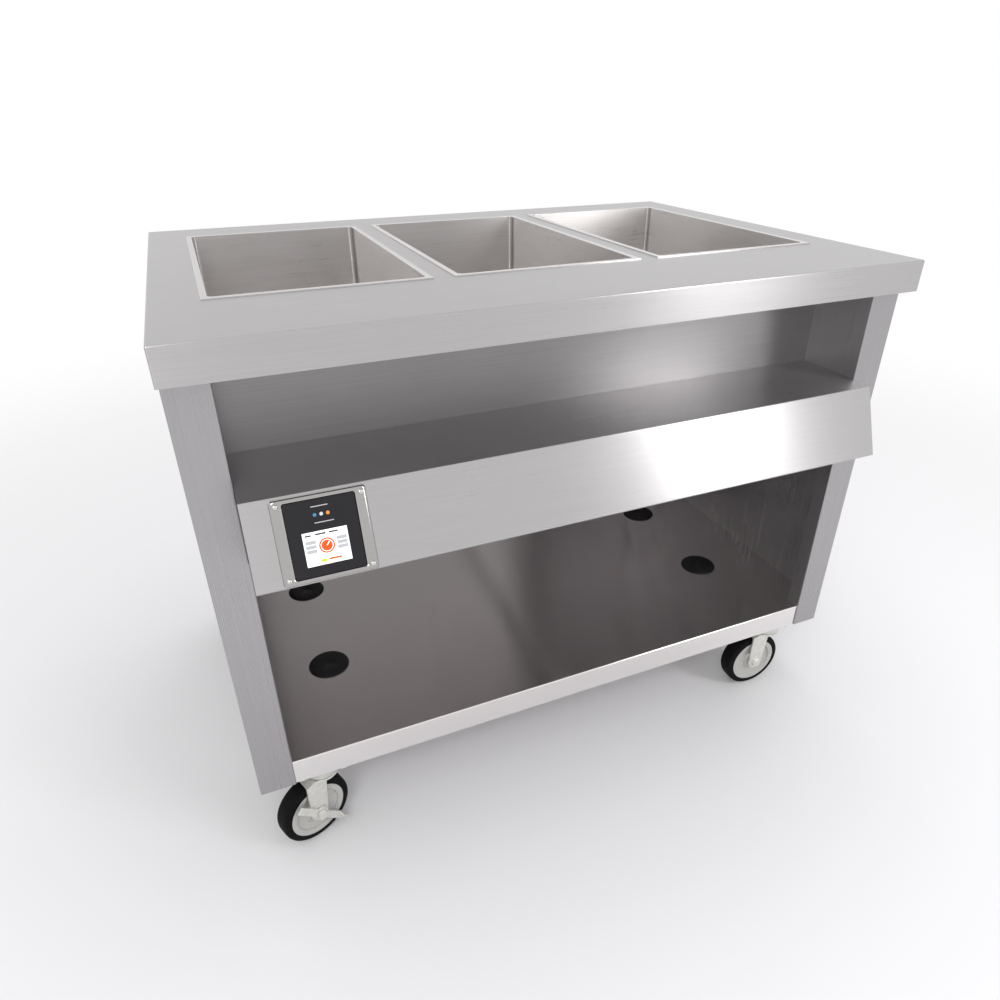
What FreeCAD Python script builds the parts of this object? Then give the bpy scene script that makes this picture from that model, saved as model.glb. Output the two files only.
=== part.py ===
import FreeCAD, Part
import math
import os
import re
import Sketcher

# Mobile hot food serving counter: three dry hot wells in a steel top, a work shelf with a slanted
# control apron, open storage below, four swivel casters.
# Millimetres. +Z is up, the operator's side faces -Y, and the origin is on the floor at the middle of
# the overall box.

SIZES = {
    # Worktop and wells
    "well_width": 304.8,
    "well_length": 508,
    "well_gap": 50.8,
    "well_end": 76.2,
    "well_front": 197,
    "well_back": 107.8,
    "well_below_shelf": 5,
    "well_corner": 8,
    "well_floor_round": 4,
    "rim_width": 9,
    "rim_height": 2,
    "rim_round": 0.8,
    "liner_sheet": 1.2,
    "top_sheet": 2,
    "top_edge": 50,
    "top_lip": 14,
    "top_bend": 2.5,
    "counter_height": 914.4,
    # Body shell
    "body_sheet": 1.5,
    "bend_inside": 1,
    "fit_gap": 0.3,
    "end_clearance": 0.2,
    "front_overhang": 31,
    "rear_overhang": 31,
    "pillar_width": 57,
    "pillar_return": 30,
    "rear_flange": 57,
    "recess_depth": 153,
    "rail_reach": 30,
    # Lower shelf and base
    "base_depth": 47,
    "fascia_setback": 3,
    "base_rail_sheet": 3,
    "base_rail_width": 64,
    "plug_diameter": 75,
    "plug_height": 2.5,
    "plug_hole": 64,
    "plug_skirt": 8,
    "plug_wall": 2,
    "plug_dimple": 6,
    "plug_inset": 160,
    "plug_front": 245,
    "plug_pitch": 257,
    # Work shelf and control apron
    "shelf_drop": 207,
    "shelf_nose": 5,
    "apron_face": 121.9,
    "apron_tilt": 20.4,
    "apron_lip": 20,
    # Control panel
    "bezel_inset": 157,
    "bezel_width": 125,
    "bezel_margin": 3.9,
    "bezel_thickness": 6,
    "bezel_bevel": 2,
    "bezel_corner": 4,
    "bezel_rail": 6.5,
    "bezel_stile": 16.5,
    "glass_thickness": 4,
    "glass_setback": 1,
    "screen_width": 58,
    "screen_height": 45,
    "screen_drop": 14,
    "screen_setback": 0.2,
    "housing_margin": 4,
    "housing_trim": 14,
    "housing_depth": 28,
    "housing_wall": 2,
    "board_thickness": 1.6,
    "board_stand": 8,
    "board_post": 5,
    "screw_edge": 8,
    "screw_shank": 4,
    "screw_head": 7,
    "screw_head_height": 2,
    "screw_length": 12,
    # Heating and wiring
    "heater_diameter": 8,
    "heater_pitch": 70,
    "heater_end": 60,
    "heater_tail": 25,
    "heater_plate": 1.5,
    "plate_margin": 12,
    "stud_diameter": 6,
    "insulation_wall": 22,
    "insulation_floor": 25,
    "insulation_headroom": 8,
    "power_box_length": 230,
    "power_box_depth": 50,
    "power_box_height": 60,
    "power_box_lift": 8,
    "power_box_shift": 180,
    "power_box_sheet": 1.2,
    "terminal_length": 140,
    "terminal_depth": 22,
    "terminal_height": 26,
    "conduit_diameter": 22,
    "conduit_wall": 1.5,
    "cord_bore": 14,
    "gland_thread": 20,
    "gland_flange": 30,
    "gland_reach": 22,
    "gland_nut": 5,
    # Casters
    "wheel_diameter": 127,
    "wheel_width": 32,
    "tyre_thickness": 13,
    "tyre_round": 5,
    "hub_boss": 30,
    "hub_recess_inner": 40,
    "hub_recess_outer": 82,
    "hub_recess_depth": 4,
    "running_clearance": 0.05,
    "axle_diameter": 10,
    "axle_nut": 17,
    "axle_nut_height": 6,
    "trail": 27,
    "fork_sheet": 4,
    "fork_leg_width": 32,
    "fork_side_gap": 3,
    "fork_headroom": 6,
    "fork_brow": 6,
    "crown_diameter": 60,
    "race_diameter": 50,
    "race_height": 4,
    "ball_diameter": 6,
    "ball_circle": 36,
    "kingpin_diameter": 12,
    "kingpin_head": 18,
    "kingpin_head_height": 3,
    "skirt_diameter": 60,
    "skirt_wall": 2,
    "caster_plate": 4,
    "caster_plate_length": 88,
    "caster_plate_width": 60,
    "caster_plate_margin": 1,
    "bolt_spread_x": 70,
    "bolt_spread_y": 42,
    "bolt_diameter": 8,
    "bolt_head": 13,
    "bolt_head_height": 5,
    "bolt_tail": 4,
    "lever_sheet": 4,
    "lever_hub": 26,
    "lever_width": 14,
    "lever_reach": 58,
    "lever_heel": 52,
    "lever_pad": 14,
    # Casters as they stand: turn of each fork about its upright axis, tilt of each lever, in degrees
    "swivel_front_left": 22,
    "swivel_front_right": -2,
    "swivel_rear_left": 8,
    "swivel_rear_right": 14,
    "lever_tilt_left": -46,
    "lever_tilt_right": 12,
}

HEATER_RUNS = 4
BALLS_IN_RING = 12

# Places worked out from the sizes. The letter at the end names the direction.
TOP_LENGTH = "(2 * well_end + 3 * well_width + 2 * well_gap)"
TOP_DEPTH = "(well_front + well_length + well_back)"
WELL_PITCH = "(well_width + well_gap)"
WELL_DEPTH = "(shelf_drop + well_below_shelf)"
END_X = f"({TOP_LENGTH} / 2 - top_sheet - end_clearance)"
PILLAR_X = f"({END_X} - pillar_width)"
SKIN_X = f"({END_X} - body_sheet)"
BAY_X = f"({PILLAR_X} - fit_gap)"
INSIDE_X = f"({SKIN_X} - fit_gap)"
BEZEL_HEIGHT = "(apron_face - 2 * bezel_margin)"
BEZEL_DROP = "(apron_face / 2)"
BEZEL_REACH = (f"(({BEZEL_DROP} + {BEZEL_HEIGHT} / 2 - bezel_bevel) * sin(apron_tilt)"
               " + bezel_thickness * cos(apron_tilt))")
SCREW_REACH = (f"(({BEZEL_DROP} + {BEZEL_HEIGHT} / 2 - screw_edge + screw_head / 2) * sin(apron_tilt)"
               " + (bezel_thickness + screw_head_height) * cos(apron_tilt))")
FRONT_REACH = f"(shelf_nose + max({BEZEL_REACH}; {SCREW_REACH}))"
TOP_FRONT = f"(({FRONT_REACH} - {TOP_DEPTH}) / 2)"
PILLAR_FRONT = f"({TOP_FRONT} + front_overhang)"
REAR_Y = f"({TOP_FRONT} + {TOP_DEPTH} - rear_overhang)"
REAR_INSIDE = f"({REAR_Y} - 2 * body_sheet)"
RECESS_Y = f"({TOP_FRONT} + recess_depth)"
WELL_Y = f"({TOP_FRONT} + well_front + well_length / 2)"
NOSE_Y = f"({TOP_FRONT} - shelf_nose)"
TOE_Y = f"({NOSE_Y} - apron_face * sin(apron_tilt))"
TOP_UNDER = "(counter_height - top_sheet)"
SHELF_Z = "(counter_height - shelf_drop)"
TOE_Z = f"({SHELF_Z} - apron_face * cos(apron_tilt))"
NOSE_INSIDE_Y = f"({NOSE_Y} + body_sheet / cos(apron_tilt) - body_sheet * tan(apron_tilt))"
TOE_INSIDE_Y = f"({TOE_Y} + body_sheet / cos(apron_tilt) + body_sheet * tan(apron_tilt))"
LINER_UNDER = f"(counter_height - {WELL_DEPTH} - liner_sheet)"
HEATER_Z = f"({LINER_UNDER} - fit_gap - heater_diameter / 2)"
TAIL_X = f"({HEATER_RUNS - 1} / 2 * heater_pitch)"
PLATE_TOP = f"({HEATER_Z} - heater_diameter / 2 - fit_gap)"
WELL_FLOOR = f"({PLATE_TOP} - heater_plate - insulation_floor)"
WHEEL_Z = "(wheel_diameter / 2)"
CROWN_UNDER = "(wheel_diameter + fork_headroom)"
CROWN_TOP = f"({CROWN_UNDER} + fork_sheet)"
SWIVEL_HEIGHT = "(2 * race_height + ball_diameter + 2 * fit_gap)"
BASE_Z = f"({CROWN_TOP} + {SWIVEL_HEIGHT} + caster_plate)"
LOW_SHELF_Z = f"({BASE_Z} + base_depth)"
BASE_RAIL_FRONT = f"({PILLAR_FRONT} + fascia_setback + body_sheet + fit_gap)"
BASE_RAIL_REAR = f"({REAR_INSIDE} - fit_gap - base_rail_width)"
CASTER_X = f"({PILLAR_X} - caster_plate_length / 2 - caster_plate_margin)"
CONDUIT_Z = f"({TOE_Z} + 2 * body_sheet + power_box_lift + power_box_height / 2)"
FORK_INSIDE = "(wheel_width / 2 + fork_side_gap)"
FORK_OUTSIDE = f"({FORK_INSIDE} + fork_sheet)"

SIZE_NAME = re.compile(r"\b(" + "|".join(SIZES) + r")\b")
V = FreeCAD.Vector
X_AXIS = V(1, 0, 0)
Z_AXIS = V(0, 0, 1)

doc = FreeCAD.newDocument("hot_food_counter")
nodes = []


def make_size_sheet():
    """Lay the driving sizes out in a sheet, one named cell each."""
    sheet = doc.addObject("Spreadsheet::Sheet", "Sizes")
    for row, (alias, number) in enumerate(SIZES.items(), start=1):
        sheet.set(f"A{row}", alias)
        sheet.set(f"B{row}", str(number))
        sheet.setAlias(f"B{row}", alias)
    doc.recompute()
    return sheet


def linked(formula):
    """The formula with each size's name turned into a reference to its cell."""
    return SIZE_NAME.sub(r"Sizes.\1", str(formula))


def bind(item, **formulas):
    """Tie properties of an item to formulas of the sizes."""
    for name, formula in formulas.items():
        item.setExpression(name, linked(formula))
    return item


def place(item, x="0", y="0", z="0", axis=None, angle="0"):
    """Tie an item's position, and its turn about one axis, to formulas of the sizes."""
    if axis is not None:
        item.Placement = FreeCAD.Placement(V(), FreeCAD.Rotation(axis, 1))
        item.setExpression("Placement.Rotation.Angle", linked(angle))
    for letter, formula in zip("xyz", (x, y, z)):
        item.setExpression(f"Placement.Base.{letter}", linked(formula))
    return item


def node(item, label):
    """Name a finished sub-part and list it."""
    item.Label = label
    nodes.append(item)
    return item


def block(name, size, corner):
    """A box with its lowest corner at the given place."""
    item = bind(doc.addObject("Part::Box", name), Length=size[0], Width=size[1], Height=size[2])
    return place(item, *corner)


def rod(name, diameter, length, x="0", y="0", z="0", axis=None, angle="0"):
    """A round bar that starts at the given place and runs up, or along its turned axis."""
    item = bind(doc.addObject("Part::Cylinder", name), Radius=f"{diameter} / 2", Height=length)
    return place(item, x, y, z, axis, angle)


def hexagon(name, across_flats, length, x="0", y="0", z="0", axis=None, angle="0"):
    """A hexagonal bar, for nuts and bolt heads."""
    item = doc.addObject("Part::Prism", name)
    item.Polygon = 6
    bind(item, Circumradius=f"{across_flats} / sqrt(3)", Height=length)
    return place(item, x, y, z, axis, angle)


def join(name, pieces):
    """Weld pieces into one solid."""
    item = doc.addObject("Part::MultiFuse", name)
    item.Shapes = pieces
    item.Refine = True
    return item


def cut(name, base, tools):
    """Take the tools away from the base."""
    tool = tools[0]
    if len(tools) > 1:
        tool = doc.addObject("Part::Compound", f"{name}_tools")
        tool.Links = tools
    item = doc.addObject("Part::Cut", name)
    item.Base = base
    item.Tool = tool
    return item


def group(name, pieces):
    """Several separate solids kept together as one sub-part."""
    item = doc.addObject("Part::Compound", name)
    item.Links = pieces
    return item


def new_body(name):
    """An empty solid to draw in."""
    return doc.addObject("PartDesign::Body", name)


def new_sketch(body, plane, level):
    """A sketch on one of the body's own planes, shifted along the plane's normal."""
    sketch = body.newObject("Sketcher::SketchObject", f"{body.Name}_sketch")
    support = next(item for item in body.Origin.OriginFeatures if item.Role == plane)
    sketch.AttachmentSupport = (support, [""])
    sketch.MapMode = "FlatFace"
    sketch.setExpression("AttachmentOffset.Base.z", linked(level))
    return sketch


def fix_point(sketch, line, end, start, formulas):
    """Hold a point of the sketch at a place given by two formulas."""
    for kind, number, formula in zip(("DistanceX", "DistanceY"), (start.x, start.y), formulas):
        row = sketch.addConstraint(Sketcher.Constraint(kind, line, end, number))
        sketch.setExpression(f"Constraints[{row}]", linked(formula))


def outlines(body, plane, loops, level="0"):
    """A sketch of closed outlines, each a list of corners given as pairs of formulas."""
    sketch = new_sketch(body, plane, level)
    first = 0
    for loop in loops:
        count = len(loop)
        turns = [2 * math.pi * index / count for index in range(count)]
        ring = [V(math.cos(turn), math.sin(turn), 0) for turn in turns]
        for index in range(count):
            sketch.addGeometry(Part.LineSegment(ring[index], ring[(index + 1) % count]), False)
        for index, formulas in enumerate(loop):
            following = first + (index + 1) % count
            sketch.addConstraint(Sketcher.Constraint("Coincident", first + index, 2, following, 1))
            fix_point(sketch, first + index, 1, ring[index], formulas)
        first += count
    return sketch


def circles(body, plane, centres, diameter, level="0"):
    """A sketch of equal circles at centres given as pairs of formulas."""
    sketch = new_sketch(body, plane, level)
    for index, formulas in enumerate(centres):
        start = V(index, index, 0)
        sketch.addGeometry(Part.Circle(start, Z_AXIS, 1), False)
        fix_point(sketch, index, 3, start, formulas)
        row = sketch.addConstraint(Sketcher.Constraint("Diameter", index, 2))
        sketch.setExpression(f"Constraints[{row}]", linked(diameter))
    return sketch


def rectangle(x0, y0, x1, y1):
    """The four corners of an upright rectangle."""
    return [(x0, y0), (x1, y0), (x1, y1), (x0, y1)]


def pad(body, sketch, length, both_ways=False, backward=False):
    """Add a sketch's outline, pulled along its normal."""
    item = bind(body.newObject("PartDesign::Pad", f"{body.Name}_pad"), Length=length)
    item.Profile = sketch
    if both_ways:
        item.SideType = "Symmetric"
    item.Reversed = backward
    doc.recompute()
    return item


def pocket(body, sketch, length, both_ways=False, forward=False):
    """Take a sketch's outline away, pushed against its normal, or along it."""
    item = bind(body.newObject("PartDesign::Pocket", f"{body.Name}_pocket"), Length=length)
    item.Profile = sketch
    if both_ways:
        item.SideType = "Symmetric"
    item.Reversed = forward
    doc.recompute()
    return item


def spin(body, sketch):
    """A full turn of the sketch about its own horizontal axis."""
    item = body.newObject("PartDesign::Revolution", f"{body.Name}_spin")
    item.Profile = sketch
    item.ReferenceAxis = (sketch, ["H_Axis"])
    item.Angle = 360
    doc.recompute()
    return item


def round_edges(body, names, radius):
    """Round the named edges of the body's last feature."""
    last = body.Tip
    item = bind(body.newObject("PartDesign::Fillet", f"{body.Name}_round"), Radius=radius)
    item.Base = (last, names)
    doc.recompute()
    return item


def round_corners(body, sketch, corners, radius):
    """Round the edges that run along the pull through the given corners of an outline."""
    normal = sketch.Placement.Rotation.multVec(Z_AXIS)
    names = []
    for index, edge in enumerate(body.Tip.Shape.Edges, start=1):
        start = edge.Vertexes[0].Point
        run = edge.Vertexes[-1].Point - start
        if run.Length < 1e-6 or run.cross(normal).Length > 1e-6 * run.Length:
            continue
        for corner in corners:
            off = start - sketch.Placement.multVec(sketch.getPoint(corner, 1))
            if off.cross(normal).Length < 1e-4:
                names.append(f"Edge{index}")
    return round_edges(body, names, radius)


def edges_where(shape, test):
    """Names of the edges whose middle and length pass the test."""
    names = []
    for index, edge in enumerate(shape.Edges, start=1):
        middle = edge.valueAt((edge.FirstParameter + edge.LastParameter) / 2)
        if test(edge, middle):
            names.append(f"Edge{index}")
    return names


def make_worktop():
    """The top sheet: turned down all round, lips folded in at front and back, three openings."""
    body = new_body("worktop")
    low = "counter_height - top_edge"
    back = f"{TOP_FRONT} + {TOP_DEPTH}"
    rim_x = f"{TOP_LENGTH} / 2"
    inside_x = f"({rim_x} - top_sheet)"
    outer = outlines(body, "XY_Plane", [rectangle(f"-{rim_x}", TOP_FRONT, rim_x, back)], low)
    pad(body, outer, "top_edge")
    hollow = rectangle(f"-{inside_x}", f"{TOP_FRONT} + top_sheet", inside_x, f"{back} - top_sheet")
    pocket(body, outlines(body, "XY_Plane", [hollow], low), "top_edge - top_sheet", forward=True)
    lips = [rectangle(f"-{inside_x}", f"{TOP_FRONT} + top_sheet / 2", inside_x, f"{TOP_FRONT} + top_lip"),
            rectangle(f"-{inside_x}", f"{back} - top_lip", inside_x, f"{back} - top_sheet / 2")]
    pad(body, outlines(body, "XY_Plane", lips, low), "top_sheet")
    half_x = "(well_width / 2 + liner_sheet + fit_gap)"
    half_y = "(well_length / 2 + liner_sheet + fit_gap)"
    openings = []
    for place_x in WELLS.values():
        openings.append(rectangle(f"{place_x} - {half_x}", f"{WELL_Y} - {half_y}",
                                  f"{place_x} + {half_x}", f"{WELL_Y} + {half_y}"))
    pocket(body, outlines(body, "XY_Plane", openings, "counter_height"), "2 * top_sheet")
    box = body.Tip.Shape.BoundBox

    def on_outside(edge, middle):
        sides = (abs(middle.x - box.XMin) < 0.01, abs(middle.x - box.XMax) < 0.01,
                 abs(middle.y - box.YMin) < 0.01, abs(middle.y - box.YMax) < 0.01,
                 abs(middle.z - box.ZMax) < 0.01)
        return sum(sides) == 2

    round_edges(body, edges_where(body.Tip.Shape, on_outside), "top_bend")
    node(body, "worktop")


def make_well(side, place_x):
    """One deep-drawn well: a straight-sided tub that hangs in the worktop by its raised rim."""
    body = new_body(f"well_liner_{side}")
    half_x = "(well_width / 2 + {0})"
    half_y = "(well_length / 2 + {0})"

    def tub(margin):
        x = half_x.format(margin)
        y = half_y.format(margin)
        return rectangle(f"-{x}", f"-{y}", x, y)

    shell = outlines(body, "XY_Plane", [tub("liner_sheet")], f"-{WELL_DEPTH} - liner_sheet")
    pad(body, shell, f"{WELL_DEPTH} + liner_sheet")
    rim = outlines(body, "XY_Plane", [tub("rim_width")])
    pad(body, rim, "rim_height")
    inside = outlines(body, "XY_Plane", [tub("0")], "rim_height")
    pocket(body, inside, f"{WELL_DEPTH} + rim_height")
    round_corners(body, inside, range(4), "well_corner")
    round_corners(body, shell, range(4), "well_corner + liner_sheet")
    box = body.Tip.Shape.BoundBox
    top_edges = edges_where(body.Tip.Shape, lambda edge, middle: abs(middle.z - box.ZMax) < 0.01)
    round_edges(body, top_edges, "rim_round")
    floor_z = box.ZMin + sizes.liner_sheet
    inside_edges = edges_where(body.Tip.Shape, lambda edge, middle: abs(middle.z - floor_z) < 0.01)
    round_edges(body, inside_edges, "well_floor_round")
    outside_edges = edges_where(body.Tip.Shape, lambda edge, middle: abs(middle.z - box.ZMin) < 0.01)
    round_edges(body, outside_edges, "well_floor_round + liner_sheet")
    place(body, place_x, WELL_Y, "counter_height")
    node(body, f"well_liner_{side}")


def make_heater(sheet, side, place_x):
    """One sheathed element: four straight runs joined by half turns, both tails leaving at the front."""
    half = sheet.well_length / 2
    turn = sheet.heater_pitch / 2
    near = -half + sheet.heater_end
    far = half - sheet.heater_end
    tail = -half - sheet.well_front + sheet.recess_depth - sheet.heater_tail
    runs = [sheet.heater_pitch * (step - (HEATER_RUNS - 1) / 2) for step in range(HEATER_RUNS)]
    ends = [(tail, far), (far, near), (near, far), (far, tail)]
    edges = []
    for index, (x, (start, stop)) in enumerate(zip(runs, ends)):
        edges.append(Part.makeLine(V(x, start, 0), V(x, stop, 0)))
        if index < HEATER_RUNS - 1:
            bulge = turn if stop == far else -turn
            middle = V(x + turn, stop + bulge, 0)
            edges.append(Part.Arc(V(x, stop, 0), middle, V(x + 2 * turn, stop, 0)).toShape())
    path = Part.Wire(edges)
    ring = Part.Circle(V(runs[0], tail, 0), V(0, 1, 0), sheet.heater_diameter / 2).toShape()
    item = doc.addObject("Part::Feature", f"heater_{side}")
    item.Shape = path.makePipeShell([Part.Wire([ring])], True, False)
    place(item, place_x, WELL_Y, HEATER_Z)
    node(item, f"heater_{side}")


def make_heater_plates():
    """Plates that clamp the elements up against the wells, each hung on four studs."""
    plates = []
    for side, place_x in WELLS.items():
        half_x = "(well_width / 2 - plate_margin)"
        half_y = "(well_length / 2 - plate_margin)"
        under = f"{PLATE_TOP} - heater_plate"
        pieces = [block(f"plate_{side}", (f"2 * {half_x}", f"2 * {half_y}", "heater_plate"),
                        (f"{place_x} - {half_x}", f"{WELL_Y} - {half_y}", under))]
        for sign_x in (-1, 1):
            for sign_y in (-1, 1):
                pieces.append(rod(f"stud_{side}", "stud_diameter", f"{LINER_UNDER} - {under}",
                                  f"{place_x} + {sign_x} * ({half_x} - stud_diameter)",
                                  f"{WELL_Y} + {sign_y} * ({half_y} - stud_diameter)", under))
        plates.append(join(f"heater_plate_{side}", pieces))
    node(group("heater_plates", plates), "heater_clamp_plates")


def make_insulation():
    """A block of insulation around and under each well, open where the element's tails leave."""
    blocks = []
    for side, place_x in WELLS.items():
        hollow_x = "(well_width / 2 + liner_sheet + fit_gap)"
        hollow_y = "(well_length / 2 + liner_sheet + fit_gap)"
        outer_x = f"({hollow_x} + insulation_wall)"
        outer_y = f"({hollow_y} + insulation_wall)"
        top = f"({TOP_UNDER} - insulation_headroom)"
        cavity = f"({WELL_FLOOR} + insulation_floor)"
        outer = block(f"insulation_{side}",
                      (f"2 * {outer_x}", f"2 * {outer_y}", f"{top} - {WELL_FLOOR}"),
                      (f"{place_x} - {outer_x}", f"{WELL_Y} - {outer_y}", WELL_FLOOR))
        tools = [block(f"cavity_{side}",
                       (f"2 * {hollow_x}", f"2 * {hollow_y}", f"{top} - {cavity} + fit_gap"),
                       (f"{place_x} - {hollow_x}", f"{WELL_Y} - {hollow_y}", cavity))]
        for sign in (-1, 1):
            tools.append(rod(f"tail_hole_{side}", "(heater_diameter + 2 * fit_gap)",
                             f"{outer_y} - {hollow_y} + 2 * fit_gap",
                             f"{place_x} + {sign} * {TAIL_X}",
                             f"{WELL_Y} - {hollow_y} + fit_gap", HEATER_Z, X_AXIS, "90"))
        blocks.append(cut(f"insulation_block_{side}", outer, tools))
    node(group("insulation", blocks), "well_insulation")


def make_recess_back():
    """The front wall of the well housing, which closes the recess behind the work shelf."""
    body = new_body("recess_back")
    profile = [(RECESS_Y, TOP_UNDER), (RECESS_Y, f"{TOE_Z} + body_sheet"),
               (f"{RECESS_Y} - apron_lip", f"{TOE_Z} + body_sheet"), (f"{RECESS_Y} - apron_lip", TOE_Z),
               (f"{RECESS_Y} + body_sheet", TOE_Z), (f"{RECESS_Y} + body_sheet", TOP_UNDER)]
    sheet_edge = outlines(body, "YZ_Plane", [profile])
    pad(body, sheet_edge, f"2 * ({PILLAR_X} + body_sheet)", both_ways=True)
    round_corners(body, sheet_edge, [4], "bend_inside + body_sheet")
    tails = [(f"{x} + {sign} * {TAIL_X}", HEATER_Z) for x in WELLS.values() for sign in (-1, 1)]
    through = f"2 * ({TOP_DEPTH})"
    pocket(body, circles(body, "XZ_Plane", tails, "heater_diameter + 2 * fit_gap"), through, both_ways=True)
    conduit = circles(body, "XZ_Plane", [("power_box_shift", CONDUIT_Z)], "conduit_diameter + 2 * fit_gap")
    pocket(body, conduit, through, both_ways=True)
    node(body, "recess_back_wall")


def make_recess_sides():
    """Liners that carry the posts' inner faces back to the recess wall, one at each end."""
    front = f"({PILLAR_FRONT} + pillar_return + fit_gap)"
    low = f"({TOE_Z} + body_sheet)"
    size = ("body_sheet", f"{RECESS_Y} - {front}", f"{TOP_UNDER} - {low}")
    liners = [block("recess_side_left", size, (f"-{PILLAR_X} - body_sheet", front, low)),
              block("recess_side_right", size, (PILLAR_X, front, low))]
    for side, liner in zip(("left", "right"), liners):
        node(liner, f"recess_side_{side}")


def make_end_panel(side, sign):
    """An end wall folded from one sheet: front post with its return, skin, rear flange."""
    body = new_body(f"end_panel_{side}")
    depth = f"({TOP_DEPTH} - front_overhang - rear_overhang)"
    corners = [("0", "0"), ("pillar_width", "0"), ("pillar_width", "pillar_return"),
               ("pillar_width - body_sheet", "pillar_return"), ("pillar_width - body_sheet", "body_sheet"),
               ("body_sheet", "body_sheet"), ("body_sheet", f"{depth} - body_sheet"),
               ("rear_flange", f"{depth} - body_sheet"), ("rear_flange", depth), ("0", depth)]
    section = outlines(body, "XY_Plane", [[(f"{-sign} * ({x})", y) for x, y in corners]])
    pad(body, section, f"{TOP_UNDER} - {BASE_Z}")
    round_corners(body, section, [0, 1, 9], "bend_inside + body_sheet")
    round_corners(body, section, [4, 5, 6], "bend_inside")
    place(body, f"{sign} * {END_X}", PILLAR_FRONT, BASE_Z)
    node(body, f"end_panel_{side}")


def make_rear_panel():
    """The flat back, held inside the end panels' rear flanges, with the hole for the cord gland."""
    half_x = f"({INSIDE_X} - bend_inside)"
    sheet = block("rear_sheet", (f"2 * {half_x}", "body_sheet", f"{TOP_UNDER} - {BASE_Z}"),
                  (f"-{half_x}", REAR_INSIDE, BASE_Z))
    hole = rod("gland_hole", "(gland_thread + 2 * fit_gap)", "3 * body_sheet", "power_box_shift",
               f"{REAR_INSIDE} + 2 * body_sheet", CONDUIT_Z, X_AXIS, "90")
    node(cut("rear_panel", sheet, [hole]), "rear_panel")


def make_well_floor():
    """The pan that carries the well insulation."""
    front = f"({RECESS_Y} + body_sheet)"
    node(block("well_floor", (f"2 * {INSIDE_X}", f"{REAR_INSIDE} - fit_gap - {front}", "body_sheet"),
               (f"-{INSIDE_X}", front, f"{WELL_FLOOR} - body_sheet")), "well_floor_pan")


def make_top_rails():
    """Angles under the worktop's front and back edges that tie the end panels together."""
    front = new_body("top_rail_front")
    angle = [("0", "0"), ("rail_reach", "0"), ("rail_reach", "-body_sheet"), ("body_sheet", "-body_sheet"),
             ("body_sheet", "-rail_reach"), ("0", "-rail_reach")]
    pad(front, outlines(front, "YZ_Plane", [angle]), f"2 * {BAY_X}", both_ways=True)
    place(front, "0", f"{PILLAR_FRONT} + body_sheet", TOP_UNDER)
    node(front, "top_rail_front")
    rear = new_body("top_rail_rear")
    flipped = [(f"-({y})", z) for y, z in angle]
    pad(rear, outlines(rear, "YZ_Plane", [flipped]), f"2 * {INSIDE_X}", both_ways=True)
    place(rear, "0", REAR_INSIDE, TOP_UNDER)
    node(rear, "top_rail_rear")


def make_work_shelf():
    """The work shelf and the slanted control apron, folded from one sheet, with the control cut-out."""
    body = new_body("work_shelf_sheet")
    back = f"({RECESS_Y} - fit_gap)"
    profile = [(back, SHELF_Z), (NOSE_Y, SHELF_Z), (TOE_Y, TOE_Z), (f"{TOE_Y} + apron_lip", TOE_Z),
               (f"{TOE_Y} + apron_lip", f"{TOE_Z} + body_sheet"), (TOE_INSIDE_Y, f"{TOE_Z} + body_sheet"),
               (NOSE_INSIDE_Y, f"{SHELF_Z} - body_sheet"), (back, f"{SHELF_Z} - body_sheet")]
    section = outlines(body, "YZ_Plane", [profile])
    pad(body, section, f"2 * {BAY_X}", both_ways=True)
    round_corners(body, section, [1, 2], "bend_inside + body_sheet")
    round_corners(body, section, [5, 6], "bend_inside")
    deep = "(4 * bezel_thickness)"
    window = block("control_window",
                   (f"{HOUSING_WIDTH} + 2 * fit_gap", f"{HOUSING_HEIGHT} + 2 * fit_gap", deep),
                   (f"-{HOUSING_WIDTH} / 2 - fit_gap", f"-{HOUSING_HEIGHT} / 2 - fit_gap", f"-{deep} / 2"))
    holes = [rod("screw_hole", "(screw_shank + 2 * fit_gap)", deep, x, y, f"-{deep} / 2") for x, y in SCREWS]
    tools = doc.addObject("Part::Compound", "apron_holes")
    tools.Links = [window, *holes]
    on_apron(tools)
    node(cut("work_shelf", body, [tools]), "work_shelf")


def on_apron(item):
    """Stand a piece drawn flat on the apron: its middle on the bezel's middle, its top facing out."""
    return place(item, f"-{TOP_LENGTH} / 2 + bezel_inset", f"{NOSE_Y} - {BEZEL_DROP} * sin(apron_tilt)",
                 f"{SHELF_Z} - {BEZEL_DROP} * cos(apron_tilt)", X_AXIS, "90 - apron_tilt")


def make_apron_closures():
    """Plates that close the apron's two ends, and the loose cover that closes it from below."""
    back = f"({RECESS_Y} - fit_gap)"
    low = f"{TOE_Z} + body_sheet"
    profile = [(back, low), (TOE_INSIDE_Y, low), (NOSE_INSIDE_Y, f"{SHELF_Z} - body_sheet"),
               (back, f"{SHELF_Z} - body_sheet")]
    for side, sign in ENDS.items():
        body = new_body(f"apron_cap_{side}")
        start = f"{sign} * ({BAY_X} - body_sheet / 2) - body_sheet / 2"
        plate = outlines(body, "YZ_Plane", [profile], start)
        pad(body, plate, "body_sheet")
        round_corners(body, plate, [1, 2], "bend_inside + fit_gap")
        node(body, f"apron_cap_{side}")
    half_x = f"({BAY_X} - body_sheet - fit_gap)"
    front = f"({TOE_INSIDE_Y} + body_sheet)"
    node(block("apron_cover", (f"2 * {half_x}", f"{back} - {front}", "body_sheet"),
               (f"-{half_x}", front, low)), "apron_cover")


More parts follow.
